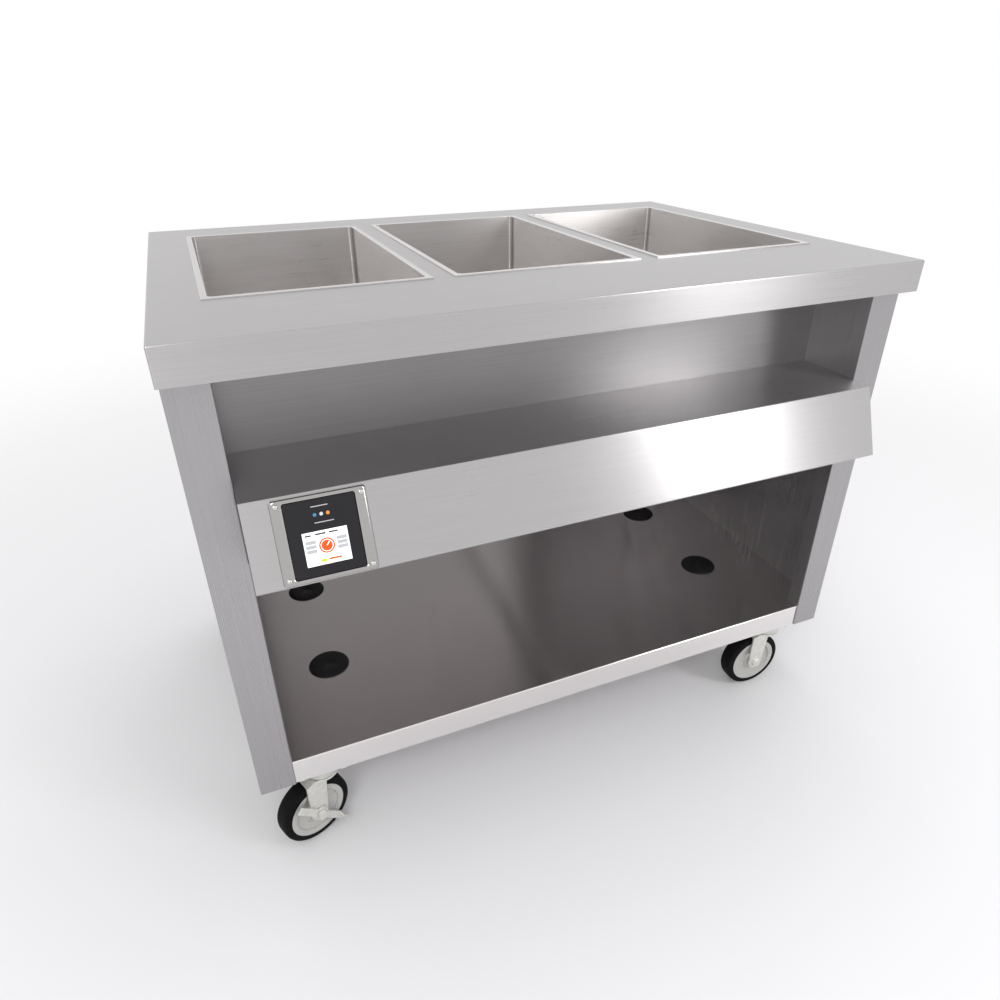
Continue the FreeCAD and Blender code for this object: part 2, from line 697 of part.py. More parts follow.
def make_lower_shelf():
    """The storage floor, notched round the posts, with its turned-down front edge and four holes."""
    body = new_body("lower_shelf")
    front = f"({PILLAR_FRONT} + fascia_setback)"
    notch = f"({PILLAR_FRONT} + pillar_return + fit_gap)"
    back = f"({REAR_INSIDE} - fit_gap)"
    half = [(BAY_X, front), (BAY_X, notch), (INSIDE_X, notch), (INSIDE_X, back)]
    loop = half + [(f"-{x}", y) for x, y in reversed(half)]
    pad(body, outlines(body, "XY_Plane", [loop], f"{LOW_SHELF_Z} - body_sheet"), "body_sheet")
    fascia = rectangle(f"-{BAY_X}", front, BAY_X, f"{front} + body_sheet")
    pad(body, outlines(body, "XY_Plane", [fascia], BASE_Z), "base_depth")
    holes = circles(body, "XY_Plane", PLUGS, "plug_hole", LOW_SHELF_Z)
    pocket(body, holes, "2 * body_sheet")
    box = body.Tip.Shape.BoundBox
    nosing = edges_where(body.Tip.Shape, lambda edge, middle: (
        abs(middle.y - box.YMin) < 0.01 and abs(middle.z - box.ZMax) < 0.01))
    round_edges(body, nosing, "bend_inside + body_sheet")
    node(body, "lower_shelf")


def make_plugs():
    """Round caps pressed into the storage floor's holes."""
    plugs = []
    for x, y in PLUGS:
        cap = rod("plug_cap", "plug_diameter", "plug_height", x, y, LOW_SHELF_Z)
        skirt = rod("plug_skirt", "(plug_hole - 2 * fit_gap)", "plug_skirt", x, y,
                    f"{LOW_SHELF_Z} - plug_skirt")
        hollow = rod("plug_hollow", "(plug_hole - 2 * fit_gap - 2 * plug_wall)", "plug_skirt", x, y,
                     f"{LOW_SHELF_Z} - plug_skirt")
        dimple = rod("plug_dimple", "plug_dimple", "plug_height", x, y,
                     f"{LOW_SHELF_Z} + plug_height / 2")
        plugs.append(cut("plug", join("plug_solid", [cap, skirt]), [hollow, dimple]))
    node(group("plugs", plugs), "floor_hole_plugs")


def make_base_rails():
    """Channels under the storage floor that the casters bolt to."""
    height = "(base_depth - body_sheet)"
    channel = [("0", "0"), ("base_rail_width", "0"), ("base_rail_width", height),
               ("base_rail_width - base_rail_sheet", height),
               ("base_rail_width - base_rail_sheet", "base_rail_sheet"),
               ("base_rail_sheet", "base_rail_sheet"), ("base_rail_sheet", height), ("0", height)]
    spread_x = [f"{sign} * {CASTER_X} + {step} * bolt_spread_x / 2" for sign in (-1, 1) for step in (-1, 1)]
    spread_y = [f"base_rail_width / 2 + {step} * bolt_spread_y / 2" for step in (-1, 1)]
    holes = [(x, y) for x in spread_x for y in spread_y]
    for end, start in (("front", BASE_RAIL_FRONT), ("rear", BASE_RAIL_REAR)):
        body = new_body(f"base_rail_{end}")
        section = outlines(body, "YZ_Plane", [channel])
        pad(body, section, f"2 * {BAY_X}", both_ways=True)
        round_corners(body, section, [0, 1], "base_rail_sheet")
        pocket(body, circles(body, "XY_Plane", holes, "bolt_diameter + 2 * fit_gap", "base_rail_sheet"),
               "2 * base_rail_sheet")
        place(body, "0", start, BASE_Z)
        node(body, f"base_rail_{end}")


def make_bezel():
    """The raised steel frame round the control face: bevelled front edges, window, screw holes."""
    body = new_body("control_bezel")
    outer = outlines(body, "XY_Plane", [rectangle("-bezel_width / 2", f"-{BEZEL_HEIGHT} / 2",
                                                  "bezel_width / 2", f"{BEZEL_HEIGHT} / 2")])
    pad(body, outer, "bezel_thickness")
    round_corners(body, outer, range(4), "bezel_corner")
    window = rectangle(f"-{WINDOW_WIDTH} / 2", f"-{WINDOW_HEIGHT} / 2",
                       f"{WINDOW_WIDTH} / 2", f"{WINDOW_HEIGHT} / 2")
    pocket(body, outlines(body, "XY_Plane", [window], "bezel_thickness"), "bezel_thickness")
    pocket(body, circles(body, "XY_Plane", SCREWS, "screw_shank + 2 * fit_gap", "bezel_thickness"),
           "bezel_thickness")
    box = body.Tip.Shape.BoundBox

    def on_front_rim(edge, middle):
        near_side = min(middle.x - box.XMin, box.XMax - middle.x, middle.y - box.YMin, box.YMax - middle.y)
        return abs(middle.z - box.ZMax) < 0.01 and near_side < sizes.bezel_corner / 2

    front_rim = edges_where(body.Tip.Shape, on_front_rim)
    last = body.Tip
    bevel = bind(body.newObject("PartDesign::Chamfer", "bezel_bevel"), Size="bezel_bevel")
    bevel.Base = (last, front_rim)
    on_apron(body)
    node(body, "control_bezel")


def make_control_face():
    """The black control face with the screen set in it, and the housing behind the apron."""
    face_width = f"({WINDOW_WIDTH} - 2 * fit_gap)"
    face_height = f"({WINDOW_HEIGHT} - 2 * fit_gap)"
    low = "(bezel_thickness - glass_setback - glass_thickness)"
    sheet = block("face_sheet", (face_width, face_height, "glass_thickness"),
                  (f"-{face_width} / 2", f"-{face_height} / 2", low))
    hole = block("screen_hole", ("screen_width + 2 * fit_gap", "screen_height + 2 * fit_gap",
                                 "glass_thickness"),
                 ("-screen_width / 2 - fit_gap", "-screen_height / 2 - screen_drop - fit_gap", low))
    node(on_apron(cut("control_face", sheet, [hole])), "control_face")
    screen_thickness = "(glass_thickness - screen_setback)"
    screen = block("screen_sheet", ("screen_width", "screen_height", screen_thickness),
                   ("-screen_width / 2", "-screen_height / 2 - screen_drop", low))
    node(on_apron(group("display_screen", [screen])), "display_screen")
    shell = block("housing_shell", (HOUSING_WIDTH, HOUSING_HEIGHT, f"housing_depth + {low}"),
                  (f"-{HOUSING_WIDTH} / 2", f"-{HOUSING_HEIGHT} / 2", "-housing_depth"))
    inside_width = f"({HOUSING_WIDTH} - 2 * housing_wall)"
    inside_height = f"({HOUSING_HEIGHT} - 2 * housing_wall)"
    floor = "(housing_wall - housing_depth)"
    hollow = block("housing_hollow", (inside_width, inside_height, f"{low} - {floor}"),
                   (f"-{inside_width} / 2", f"-{inside_height} / 2", floor))
    node(on_apron(cut("control_housing", shell, [hollow])), "control_housing")
    board_width = f"({inside_width} - 2 * fit_gap)"
    board_height = f"({inside_height} - 2 * fit_gap)"
    pieces = [block("board_sheet", (board_width, board_height, "board_thickness"),
                    (f"-{board_width} / 2", f"-{board_height} / 2", f"{floor} + board_stand"))]
    for sign_x in (-1, 1):
        for sign_y in (-1, 1):
            pieces.append(rod("board_post", "board_post", "board_stand",
                              f"{sign_x} * ({board_width} / 2 - board_post)",
                              f"{sign_y} * ({board_height} / 2 - board_post)", floor))
    node(on_apron(join("control_board", pieces)), "control_board")
    screws = []
    for x, y in SCREWS:
        head = rod("screw_head", "screw_head", "screw_head_height", x, y, "bezel_thickness")
        shank = rod("screw_shank", "screw_shank", "screw_length", x, y, "bezel_thickness - screw_length")
        screws.append(join("bezel_screw", [head, shank]))
    node(on_apron(group("bezel_screws", screws)), "bezel_screws")


def make_wiring():
    """The power box in the apron, the conduit to the back of the counter and the cord gland."""
    box_low = f"({CONDUIT_Z} - power_box_height / 2)"
    box_left = "(power_box_shift - power_box_length / 2)"
    box_front = f"({RECESS_Y} - power_box_depth)"
    shell = block("box_shell", ("power_box_length", "power_box_depth", "power_box_height"),
                  (box_left, box_front, box_low))
    hollow = block("box_hollow", ("power_box_length - 2 * power_box_sheet",
                                  "power_box_depth - 2 * power_box_sheet",
                                  "power_box_height - 2 * power_box_sheet"),
                   (f"{box_left} + power_box_sheet", f"{box_front} + power_box_sheet",
                    f"{box_low} + power_box_sheet"))
    entry = rod("box_entry", "cord_bore", "2 * power_box_sheet", "power_box_shift",
                f"{RECESS_Y} + power_box_sheet / 2", CONDUIT_Z, X_AXIS, "90")
    node(cut("power_box", shell, [hollow, entry]), "power_box")
    node(block("terminal_block", ("terminal_length", "terminal_depth", "terminal_height"),
               ("power_box_shift - terminal_length / 2", f"{box_front} + power_box_sheet",
                f"{box_low} + power_box_sheet")), "terminal_block")
    start = f"({REAR_INSIDE} - gland_nut)"
    run = f"({start} - {RECESS_Y})"
    tube = rod("conduit_tube", "conduit_diameter", run, "power_box_shift", start, CONDUIT_Z, X_AXIS, "90")
    hollow = rod("conduit_hollow", "(conduit_diameter - 2 * conduit_wall)", run, "power_box_shift", start,
                 CONDUIT_Z, X_AXIS, "90")
    node(cut("supply_conduit", tube, [hollow]), "supply_conduit")
    outside = f"({REAR_INSIDE} + body_sheet + gland_reach)"
    cap = rod("gland_cap", "gland_flange", "gland_reach", "power_box_shift", outside, CONDUIT_Z, X_AXIS, "90")
    thread = rod("gland_thread", "gland_thread", "gland_reach + body_sheet + gland_nut", "power_box_shift",
                 outside, CONDUIT_Z, X_AXIS, "90")
    nut = hexagon("gland_nut", "gland_flange", "gland_nut", "power_box_shift", REAR_INSIDE, CONDUIT_Z,
                  X_AXIS, "90")
    bore = rod("gland_bore", "cord_bore", "gland_reach + body_sheet + gland_nut", "power_box_shift",
               outside, CONDUIT_Z, X_AXIS, "90")
    node(cut("cord_gland", join("gland_solid", [cap, thread, nut]), [bore]), "cord_gland")


def stand_caster(item, corner):
    """Stand a piece drawn about a caster's upright axis in its place, turned with the fork."""
    return place(item, f"{corner.sign_x} * {CASTER_X}", corner.place_y, "0", Z_AXIS, corner.swivel)


class Corner:
    """One caster's place: its name, side, row, the turn of its fork and whether it has a brake lever."""

    def __init__(self, name, sign_x, place_y, lever_tilt=None, lever_side=0):
        self.name = name
        self.sign_x = sign_x
        self.place_y = place_y
        self.swivel = f"swivel_{name}"
        self.lever_tilt = lever_tilt
        self.lever_side = lever_side


def make_caster_plate(corner):
    """The bolted plate with its kingpin, upper race and dust skirt."""
    name = corner.name
    under = f"({BASE_Z} - caster_plate)"
    plate = block(f"plate_{name}", ("caster_plate_length", "caster_plate_width", "caster_plate"),
                  ("-caster_plate_length / 2", "-caster_plate_width / 2", under))
    race = rod(f"race_{name}", "race_diameter", "race_height", "0", "0", f"{under} - race_height")
    skirt_low = f"({CROWN_TOP} + race_height / 2)"
    skirt = cut(f"skirt_{name}",
                rod(f"skirt_outer_{name}", "skirt_diameter", f"{under} - {skirt_low}", "0", "0", skirt_low),
                [rod(f"skirt_inner_{name}", "(skirt_diameter - 2 * skirt_wall)", f"{under} - {skirt_low}",
                     "0", "0", skirt_low)])
    pin_low = f"({CROWN_UNDER} - fit_gap)"
    pin = rod(f"kingpin_{name}", "kingpin_diameter", f"{under} - {pin_low}", "0", "0", pin_low)
    head = rod(f"kingpin_head_{name}", "kingpin_head", "kingpin_head_height", "0", "0",
               f"{pin_low} - kingpin_head_height")
    holes = []
    for step_x in (-1, 1):
        for step_y in (-1, 1):
            holes.append(rod(f"plate_hole_{name}", "(bolt_diameter + 2 * fit_gap)", "caster_plate",
                             f"{step_x} * bolt_spread_x / 2", f"{step_y} * bolt_spread_y / 2", under))
    solid = join(f"plate_solid_{name}", [plate, race, skirt, pin, head])
    item = cut(f"caster_plate_{name}", solid, holes)
    place(item, f"{corner.sign_x} * {CASTER_X}", corner.place_y)
    node(item, f"caster_plate_{name}")


def make_fork(corner):
    """The swivelling fork: lower race, crown and two legs that trail behind the kingpin."""
    body = new_body(f"fork_{corner.name}")
    half_leg = "fork_leg_width / 2"
    brow = f"-trail + {half_leg} + fork_brow"
    leg = [("-crown_diameter / 2", CROWN_TOP), (f"-trail - {half_leg}", CROWN_UNDER),
           (f"-trail - {half_leg}", WHEEL_Z), (f"-trail + {half_leg}", WHEEL_Z),
           (brow, CROWN_UNDER), (brow, CROWN_TOP)]
    pad(body, outlines(body, "XZ_Plane", [leg]), f"2 * {FORK_OUTSIDE}", both_ways=True)
    pad(body, circles(body, "XZ_Plane", [("-trail", WHEEL_Z)], "fork_leg_width"), f"2 * {FORK_OUTSIDE}",
        both_ways=True)
    slot = rectangle("-2 * wheel_diameter", "-fork_leg_width", "2 * wheel_diameter", CROWN_UNDER)
    pocket(body, outlines(body, "XZ_Plane", [slot]), f"2 * {FORK_INSIDE}", both_ways=True)
    centre = [("0", "0")]
    pad(body, circles(body, "XY_Plane", centre, "crown_diameter", CROWN_UNDER), "fork_sheet")
    pad(body, circles(body, "XY_Plane", centre, "race_diameter", CROWN_TOP), "race_height")
    bore = circles(body, "XY_Plane", centre, "kingpin_diameter + 2 * running_clearance", BASE_Z)
    pocket(body, bore, "wheel_diameter / 2")
    axle = circles(body, "XZ_Plane", [("-trail", WHEEL_Z)], "axle_diameter")
    pocket(body, axle, f"4 * {FORK_OUTSIDE}", both_ways=True)
    stand_caster(body, corner)
    node(body, f"caster_fork_{corner.name}")


def make_wheel(corner):
    """The wheel: a hard core running on the axle and a rubber tyre round it, spun about the axle."""
    core_radius = "(wheel_diameter / 2 - tyre_thickness)"
    half = "wheel_width / 2"
    boss = f"({FORK_INSIDE} - fit_gap)"
    floor = f"({half} - hub_recess_depth)"
    bore = "axle_diameter / 2 + running_clearance"
    right = [(boss, bore), (boss, "hub_boss / 2"), (half, "hub_boss / 2"), (half, "hub_recess_inner / 2"),
             (floor, "hub_recess_inner / 2"), (floor, "hub_recess_outer / 2"),
             (half, "hub_recess_outer / 2"), (half, core_radius)]
    left = [(f"-({a})", r) for a, r in reversed(right)]
    core = new_body(f"hub_{corner.name}")
    spin(core, outlines(core, "XY_Plane", [right + left]))
    tyre = new_body(f"tyre_{corner.name}")
    outside = rectangle(f"-{half}", core_radius, half, "wheel_diameter / 2")
    spin(tyre, outlines(tyre, "XY_Plane", [outside]))
    reach = tyre.Tip.Shape.BoundBox.YMax

    def on_tread(edge, middle):
        return hasattr(edge.Curve, "Radius") and abs(edge.Curve.Radius - reach) < 0.01

    round_edges(tyre, edges_where(tyre.Tip.Shape, on_tread), "tyre_round")
    for body, piece in ((core, "hub"), (tyre, "tyre")):
        shape_turn = f"{corner.swivel} + 90"
        place(body, f"{corner.sign_x} * {CASTER_X} - trail * cos({corner.swivel})",
              f"{corner.place_y} - trail * sin({corner.swivel})", WHEEL_Z, Z_AXIS, shape_turn)
        node(body, f"caster_{piece}_{corner.name}")


def make_axle(corner):
    """The axle bolt with a nut at each end, longer on the side that carries a brake lever."""
    reach = [FORK_OUTSIDE, FORK_OUTSIDE]
    if corner.lever_side:
        reach[(corner.lever_side + 1) // 2] = f"({FORK_OUTSIDE} + lever_sheet + 2 * fit_gap)"
    name = corner.name
    shaft = rod(f"shaft_{name}", "axle_diameter", f"{reach[0]} + {reach[1]}", "-trail", reach[1], WHEEL_Z,
                X_AXIS, "90")
    head = hexagon(f"axle_head_{name}", "axle_nut", "axle_nut_height", "-trail",
                   f"{reach[1]} + axle_nut_height", WHEEL_Z, X_AXIS, "90")
    nut = hexagon(f"axle_nut_{name}", "axle_nut", "axle_nut_height", "-trail", f"-{reach[0]}", WHEEL_Z,
                  X_AXIS, "90")
    item = join(f"axle_{name}", [shaft, head, nut])
    stand_caster(item, corner)
    node(item, f"caster_axle_{name}")


def make_balls():
    """The balls in the four swivels, laid in rings between the races."""
    rings = []
    for corner in CORNERS:
        for step in range(BALLS_IN_RING):
            turn = f"{step} * 360 / {BALLS_IN_RING}"
            ball = bind(doc.addObject("Part::Sphere", "ball"), Radius="ball_diameter / 2")
            place(ball, f"{corner.sign_x} * {CASTER_X} + ball_circle / 2 * cos({turn})",
                  f"{corner.place_y} + ball_circle / 2 * sin({turn})",
                  f"{CROWN_TOP} + race_height + fit_gap + ball_diameter / 2")
            rings.append(ball)
    node(group("swivel_balls", rings), "swivel_balls")


def make_caster_bolts():
    """The bolts that hold the caster plates to the base rails, each with its nut inside the rail."""
    bolts = []
    under = f"({BASE_Z} - caster_plate)"
    inside = f"({BASE_Z} + base_rail_sheet)"
    for corner in CORNERS:
        for step_x in (-1, 1):
            for step_y in (-1, 1):
                x = f"{corner.sign_x} * {CASTER_X} + {step_x} * bolt_spread_x / 2"
                y = f"{corner.place_y} + {step_y} * bolt_spread_y / 2"
                head = hexagon("bolt_head", "bolt_head", "bolt_head_height", x, y,
                               f"{under} - bolt_head_height")
                shank = rod("bolt_shank", "bolt_diameter",
                            f"{inside} + bolt_head_height + bolt_tail - {under}", x, y, under)
                nut = hexagon("bolt_nut", "bolt_head", "bolt_head_height", x, y, inside)
                bolts.append(join("caster_bolt", [head, shank, nut]))
    node(group("caster_bolts", bolts), "caster_bolts")


def make_lever(corner):
    """A brake lever that rocks on the axle's end: round eye, two arms, a foot pad turned out at its toe."""
    body = new_body(f"lever_{corner.name}")
    half = "lever_width / 2"
    side = corner.lever_side
    inner = f"({FORK_OUTSIDE} + fit_gap)"
    arm = rectangle("-lever_heel", f"-{half}", "lever_reach", half)
    start = inner if side < 0 else f"-{inner} - lever_sheet"
    pad(body, outlines(body, "XZ_Plane", [arm], start), "lever_sheet")
    pad(body, circles(body, "XZ_Plane", [("0", "0")], "lever_hub", start), "lever_sheet")
    foot = rectangle("lever_reach - lever_pad", f"{half} - lever_sheet", "lever_reach", half)
    foot_start = inner if side < 0 else f"-{inner} - lever_pad"
    pad(body, outlines(body, "XZ_Plane", [foot], foot_start), "lever_pad")
    bore = circles(body, "XZ_Plane", [("0", "0")], "axle_diameter + 2 * running_clearance")
    pocket(body, bore, f"8 * {FORK_OUTSIDE}", both_ways=True)
    tilted = group(f"lever_tilted_{corner.name}", [body])
    place(body, "0", "0", "0", V(0, -1, 0), corner.lever_tilt)
    place(tilted, f"{corner.sign_x} * {CASTER_X} - trail * cos({corner.swivel})",
          f"{corner.place_y} - trail * sin({corner.swivel})", WHEEL_Z, Z_AXIS, corner.swivel)
    node(tilted, f"brake_lever_{corner.name}")


ENDS = {"left": -1, "right": 1}
WELLS = {"left": f"(-{WELL_PITCH})", "centre": "(0)", "right": f"({WELL_PITCH})"}
WINDOW_WIDTH = "(bezel_width - 2 * bezel_stile)"
WINDOW_HEIGHT = f"({BEZEL_HEIGHT} - 2 * bezel_rail)"
HOUSING_WIDTH = f"({WINDOW_WIDTH} - 2 * housing_margin)"
HOUSING_HEIGHT = f"({WINDOW_HEIGHT} - 2 * housing_trim)"
SCREWS = [(f"{sign_x} * (bezel_width / 2 - screw_edge)", f"{sign_y} * ({BEZEL_HEIGHT} / 2 - screw_edge)")
          for sign_x in (-1, 1) for sign_y in (-1, 1)]
PLUGS = [(f"({sign} * ({TOP_LENGTH} / 2 - plug_inset))", f"({TOP_FRONT} + plug_front + {row} * plug_pitch)")
         for sign in (-1, 1) for row in (0, 1)]
FRONT_ROW = f"({BASE_RAIL_FRONT} + base_rail_width / 2)"
REAR_ROW = f"({BASE_RAIL_REAR} + base_rail_width / 2)"
CORNERS = (Corner("front_left", -1, FRONT_ROW, "lever_tilt_left", -1),
           Corner("front_right", 1, FRONT_ROW, "lever_tilt_right", 1),
           Corner("rear_left", -1, REAR_ROW), Corner("rear_right", 1, REAR_ROW))

sizes = make_size_sheet()
make_worktop()
for well_side, well_x in WELLS.items():
    make_well(well_side, well_x)
    make_heater(sizes, well_side, well_x)
make_heater_plates()
make_insulation()
make_well_floor()
make_recess_back()
make_recess_sides()
for end_side, end_sign in ENDS.items():
    make_end_panel(end_side, end_sign)
make_rear_panel()
make_top_rails()
make_work_shelf()
make_apron_closures()
make_lower_shelf()
make_plugs()
make_base_rails()
make_bezel()
make_control_face()
make_wiring()
for caster in CORNERS:
    make_caster_plate(caster)
    make_fork(caster)
    make_axle(caster)
    make_wheel(caster)
    if caster.lever_tilt:
        make_lever(caster)
make_balls()
make_caster_bolts()
doc.recompute()

faulty = [item.Label for item in doc.Objects if "Invalid" in item.State or "Error" in item.State]
broken_shapes = [item.Label for item in nodes if item.Shape.isNull() or not item.Shape.isValid()]
if faulty or broken_shapes:
    raise RuntimeError(f"Pieces that did not build: {faulty} {broken_shapes}")
os.makedirs("parts", exist_ok=True)
for item in nodes:
    item.Shape.exportStep(f"parts/{item.Label}.step")
print(len(nodes), "sub-parts written")
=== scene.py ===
"""Looks of the mobile hot food serving counter: finishes, fine pieces, studio and camera.

Every length in the classes is in millimetres unless its name says otherwise; meshes are in metres, in the
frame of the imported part: +X to the operator's right, +Y to the back, +Z up from the floor.
"""
import logging
import math
from dataclasses import dataclass
from enum import Enum
from typing import Optional, Protocol, Sequence

import bmesh
import bpy
from mathutils import Matrix, Vector


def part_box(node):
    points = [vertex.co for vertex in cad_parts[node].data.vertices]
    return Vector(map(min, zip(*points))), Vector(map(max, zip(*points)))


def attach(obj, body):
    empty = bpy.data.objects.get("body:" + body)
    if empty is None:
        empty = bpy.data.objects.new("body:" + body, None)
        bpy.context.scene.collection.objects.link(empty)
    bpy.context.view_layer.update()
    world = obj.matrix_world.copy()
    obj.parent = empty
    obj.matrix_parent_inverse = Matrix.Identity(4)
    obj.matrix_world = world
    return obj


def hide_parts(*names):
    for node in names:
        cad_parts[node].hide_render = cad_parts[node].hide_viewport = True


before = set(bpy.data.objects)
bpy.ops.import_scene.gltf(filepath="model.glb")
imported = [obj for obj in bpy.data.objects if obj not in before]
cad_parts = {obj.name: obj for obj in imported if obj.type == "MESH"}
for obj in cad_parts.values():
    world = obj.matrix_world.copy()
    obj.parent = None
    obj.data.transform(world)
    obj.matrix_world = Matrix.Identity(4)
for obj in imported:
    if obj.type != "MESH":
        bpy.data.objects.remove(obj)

LOG = logging.getLogger("serving_counter")
MM = 0.001
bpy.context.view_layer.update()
STILL_BODY = "counter"


class Grain(Enum):
    """Which way the brush ran over a sheet, as a direction in the part's frame."""

    LENGTHWISE = (1.0, 0.0, 0.0)
    UPRIGHT = (0.0, 0.0, 1.0)
    LEVEL_ROUND = (1.0, 1.0, 0.0)


# A sheet's end faces lie square to its grain. This slight lean gives the grain a direction on them too.
GRAIN_LEAN = (0.003, 0.004, 0.005)
# The middle part of a noise, and of two noises added up, which a finish spreads over its tones.
NOISE_LOW, NOISE_HIGH = 0.3, 0.7
WEAR_LOW, WEAR_HIGH = 0.7, 1.3
# Points of a mesh closer than these are one point: in a new piece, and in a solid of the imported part.
SAME_POINT = 0.0005
SAME_CORNER = 0.001
# Angles in degrees between two faces: flat enough to merge, sharp enough to shade, sharp enough to round.
FLAT_ANGLE, SHARP_ANGLE, EDGE_ANGLE = 0.5, 32, 35
EDGE_STEPS = 2
CORNER_STEPS = 6


def linear(hex_colour: str) -> tuple[float, float, float, float]:
    """Turn an sRGB colour into the linear one that shaders use.

    Args:
        hex_colour: six hex digits after a hash mark.

    Returns:
        Red, green, blue and a full alpha.
    """
    shares = [int(hex_colour[start:start + 2], 16) / 255 for start in (1, 3, 5)]
    red, green, blue = [s / 12.92 if s <= 0.04045 else ((s + 0.055) / 1.055) ** 2.4 for s in shares]
    return red, green, blue, 1.0


def add_node(tree: bpy.types.NodeTree, kind: str, inputs: Optional[dict] = None,
             **settings: object) -> bpy.types.Node:
    """Add one node with its settings and links.

    Args:
        tree: the node tree that gets it.
        kind: the node's type name.
        inputs: input name or number to a plain value, or to the output socket that feeds it.
        settings: properties of the node itself.

    Returns:
        The new node.
    """
    node = tree.nodes.new(kind)
    for name, value in settings.items():
        setattr(node, name, value)
    for name, value in (inputs or {}).items():
        if isinstance(value, bpy.types.NodeSocket):
            tree.links.new(value, node.inputs[name])
        else:
            node.inputs[name].default_value = value
    return node


def start_material(name: str) -> tuple[bpy.types.Material, bpy.types.NodeTree]:
    """Make an empty node material.

    Args:
        name: the finish's name.

    Returns:
        The material and its cleared node tree.
    """
    material = bpy.data.materials.new(name)
    material.use_nodes = True
    material.node_tree.nodes.clear()
    return material, material.node_tree


def end_material(tree: bpy.types.NodeTree, shader: bpy.types.Node) -> None:
    """Link a finished shader to the material's output.

    Args:
        tree: the material's node tree.
        shader: the node whose first output is the surface.
    """
    add_node(tree, "ShaderNodeOutputMaterial", {"Surface": shader.outputs[0]})


def background_rays(tree: bpy.types.NodeTree) -> bpy.types.NodeSocket:
    """Tell the rays that show the background: straight to the eye, or by way of metal or glass.

    Args:
        tree: the node tree that asks.

    Returns:
        An output that is 1 for those rays and 0 for the rest.
    """
    path = add_node(tree, "ShaderNodeLightPath").outputs
    direct = add_node(tree, "ShaderNodeMath", {0: path["Is Camera Ray"], 1: path["Is Glossy Ray"]},
                      operation="MAXIMUM")
    shown = add_node(tree, "ShaderNodeMath", {0: direct.outputs["Value"], 1: path["Is Transmission Ray"]},
                     operation="MAXIMUM")
    return shown.outputs["Value"]


class Finish(Protocol):
    """Anything that can make a material for a piece."""

    name: str

    def material(self) -> bpy.types.Material:
        """Make the finish's material."""


@dataclass(frozen=True)
class BrushedSteel:
    """Stainless sheet rubbed one way with a belt: straight fine lines that smear a reflection across them."""

    name: str
    grain: Grain
    dark: str = "#B6B4B5"
    light: str = "#BDBBBC"
    roughness: float = 0.3
    spread: float = 0.03
    smear: float = 0.9
    metallic: float = 1.0
    line_length: float = 160.0
    # Belt lines are about 0.1 mm apart. They are drawn wider here, so that a picture of the whole counter
    # shows them.
    line_width: float = 1.1
    # How deep the lines look, as a share of their height.
    line_depth: float = 0.012
    line_height: float = 0.02
    cloud: float = 140.0

    def material(self) -> bpy.types.Material:
        """Make the brushed sheet's material."""
        material, tree = start_material(self.name)
        place = add_node(tree, "ShaderNodeTexCoord").outputs["Object"]
        along = 1 / (self.line_length * MM)
        across = 1 / (self.line_width * MM)
        stretch = [along if share else across for share in self.grain.value]
        lined = add_node(tree, "ShaderNodeMapping", {"Vector": place, "Scale": stretch})
        lines = add_node(tree, "ShaderNodeTexNoise",
                         {"Vector": lined.outputs["Vector"], "Scale": 1.0, "Detail": 3.0, "Roughness": 0.65})
        clouds = add_node(tree, "ShaderNodeTexNoise",
                          {"Vector": place, "Scale": 1 / (self.cloud * MM), "Detail": 3.0, "Roughness": 0.55})
        tone = add_node(tree, "ShaderNodeMapRange",
                        {"Value": lines.outputs["Fac"], "From Min": NOISE_LOW, "From Max": NOISE_HIGH})
        colour = add_node(tree, "ShaderNodeMix", {0: tone.outputs["Result"], 6: linear(self.dark),
                                                  7: linear(self.light)}, data_type="RGBA")
        wear = add_node(tree, "ShaderNodeMath", {0: lines.outputs["Fac"], 1: clouds.outputs["Fac"]},
                        operation="ADD")
        gloss = add_node(tree, "ShaderNodeMapRange",
                         {"Value": wear.outputs["Value"], "From Min": WEAR_LOW, "From Max": WEAR_HIGH,
                          "To Min": self.roughness - self.spread, "To Max": self.roughness + self.spread})
        relief = add_node(tree, "ShaderNodeBump",
                          {"Height": lines.outputs["Fac"], "Strength": self.line_depth,
                           "Distance": self.line_height * MM})
        facing = add_node(tree, "ShaderNodeNewGeometry").outputs["Normal"]
        direction = self.grain.value
        if self.grain is Grain.LEVEL_ROUND:
            direction = add_node(tree, "ShaderNodeVectorMath", {0: Grain.UPRIGHT.value, 1: facing},
                                 operation="CROSS_PRODUCT").outputs["Vector"]
        along_grain = add_node(tree, "ShaderNodeVectorMath", {0: direction, 1: GRAIN_LEAN}, operation="ADD")
        across_grain = add_node(tree, "ShaderNodeVectorMath", {0: facing, 1: along_grain.outputs["Vector"]},
                                operation="CROSS_PRODUCT")
        shader = add_node(tree, "ShaderNodeBsdfPrincipled",
                          {"Base Color": colour.outputs[2], "Metallic": self.metallic,
                           "Roughness": gloss.outputs["Result"], "Anisotropic": self.smear,
                           "Tangent": across_grain.outputs["Vector"], "Normal": relief.outputs["Normal"]})
        end_material(tree, shader)
        return material


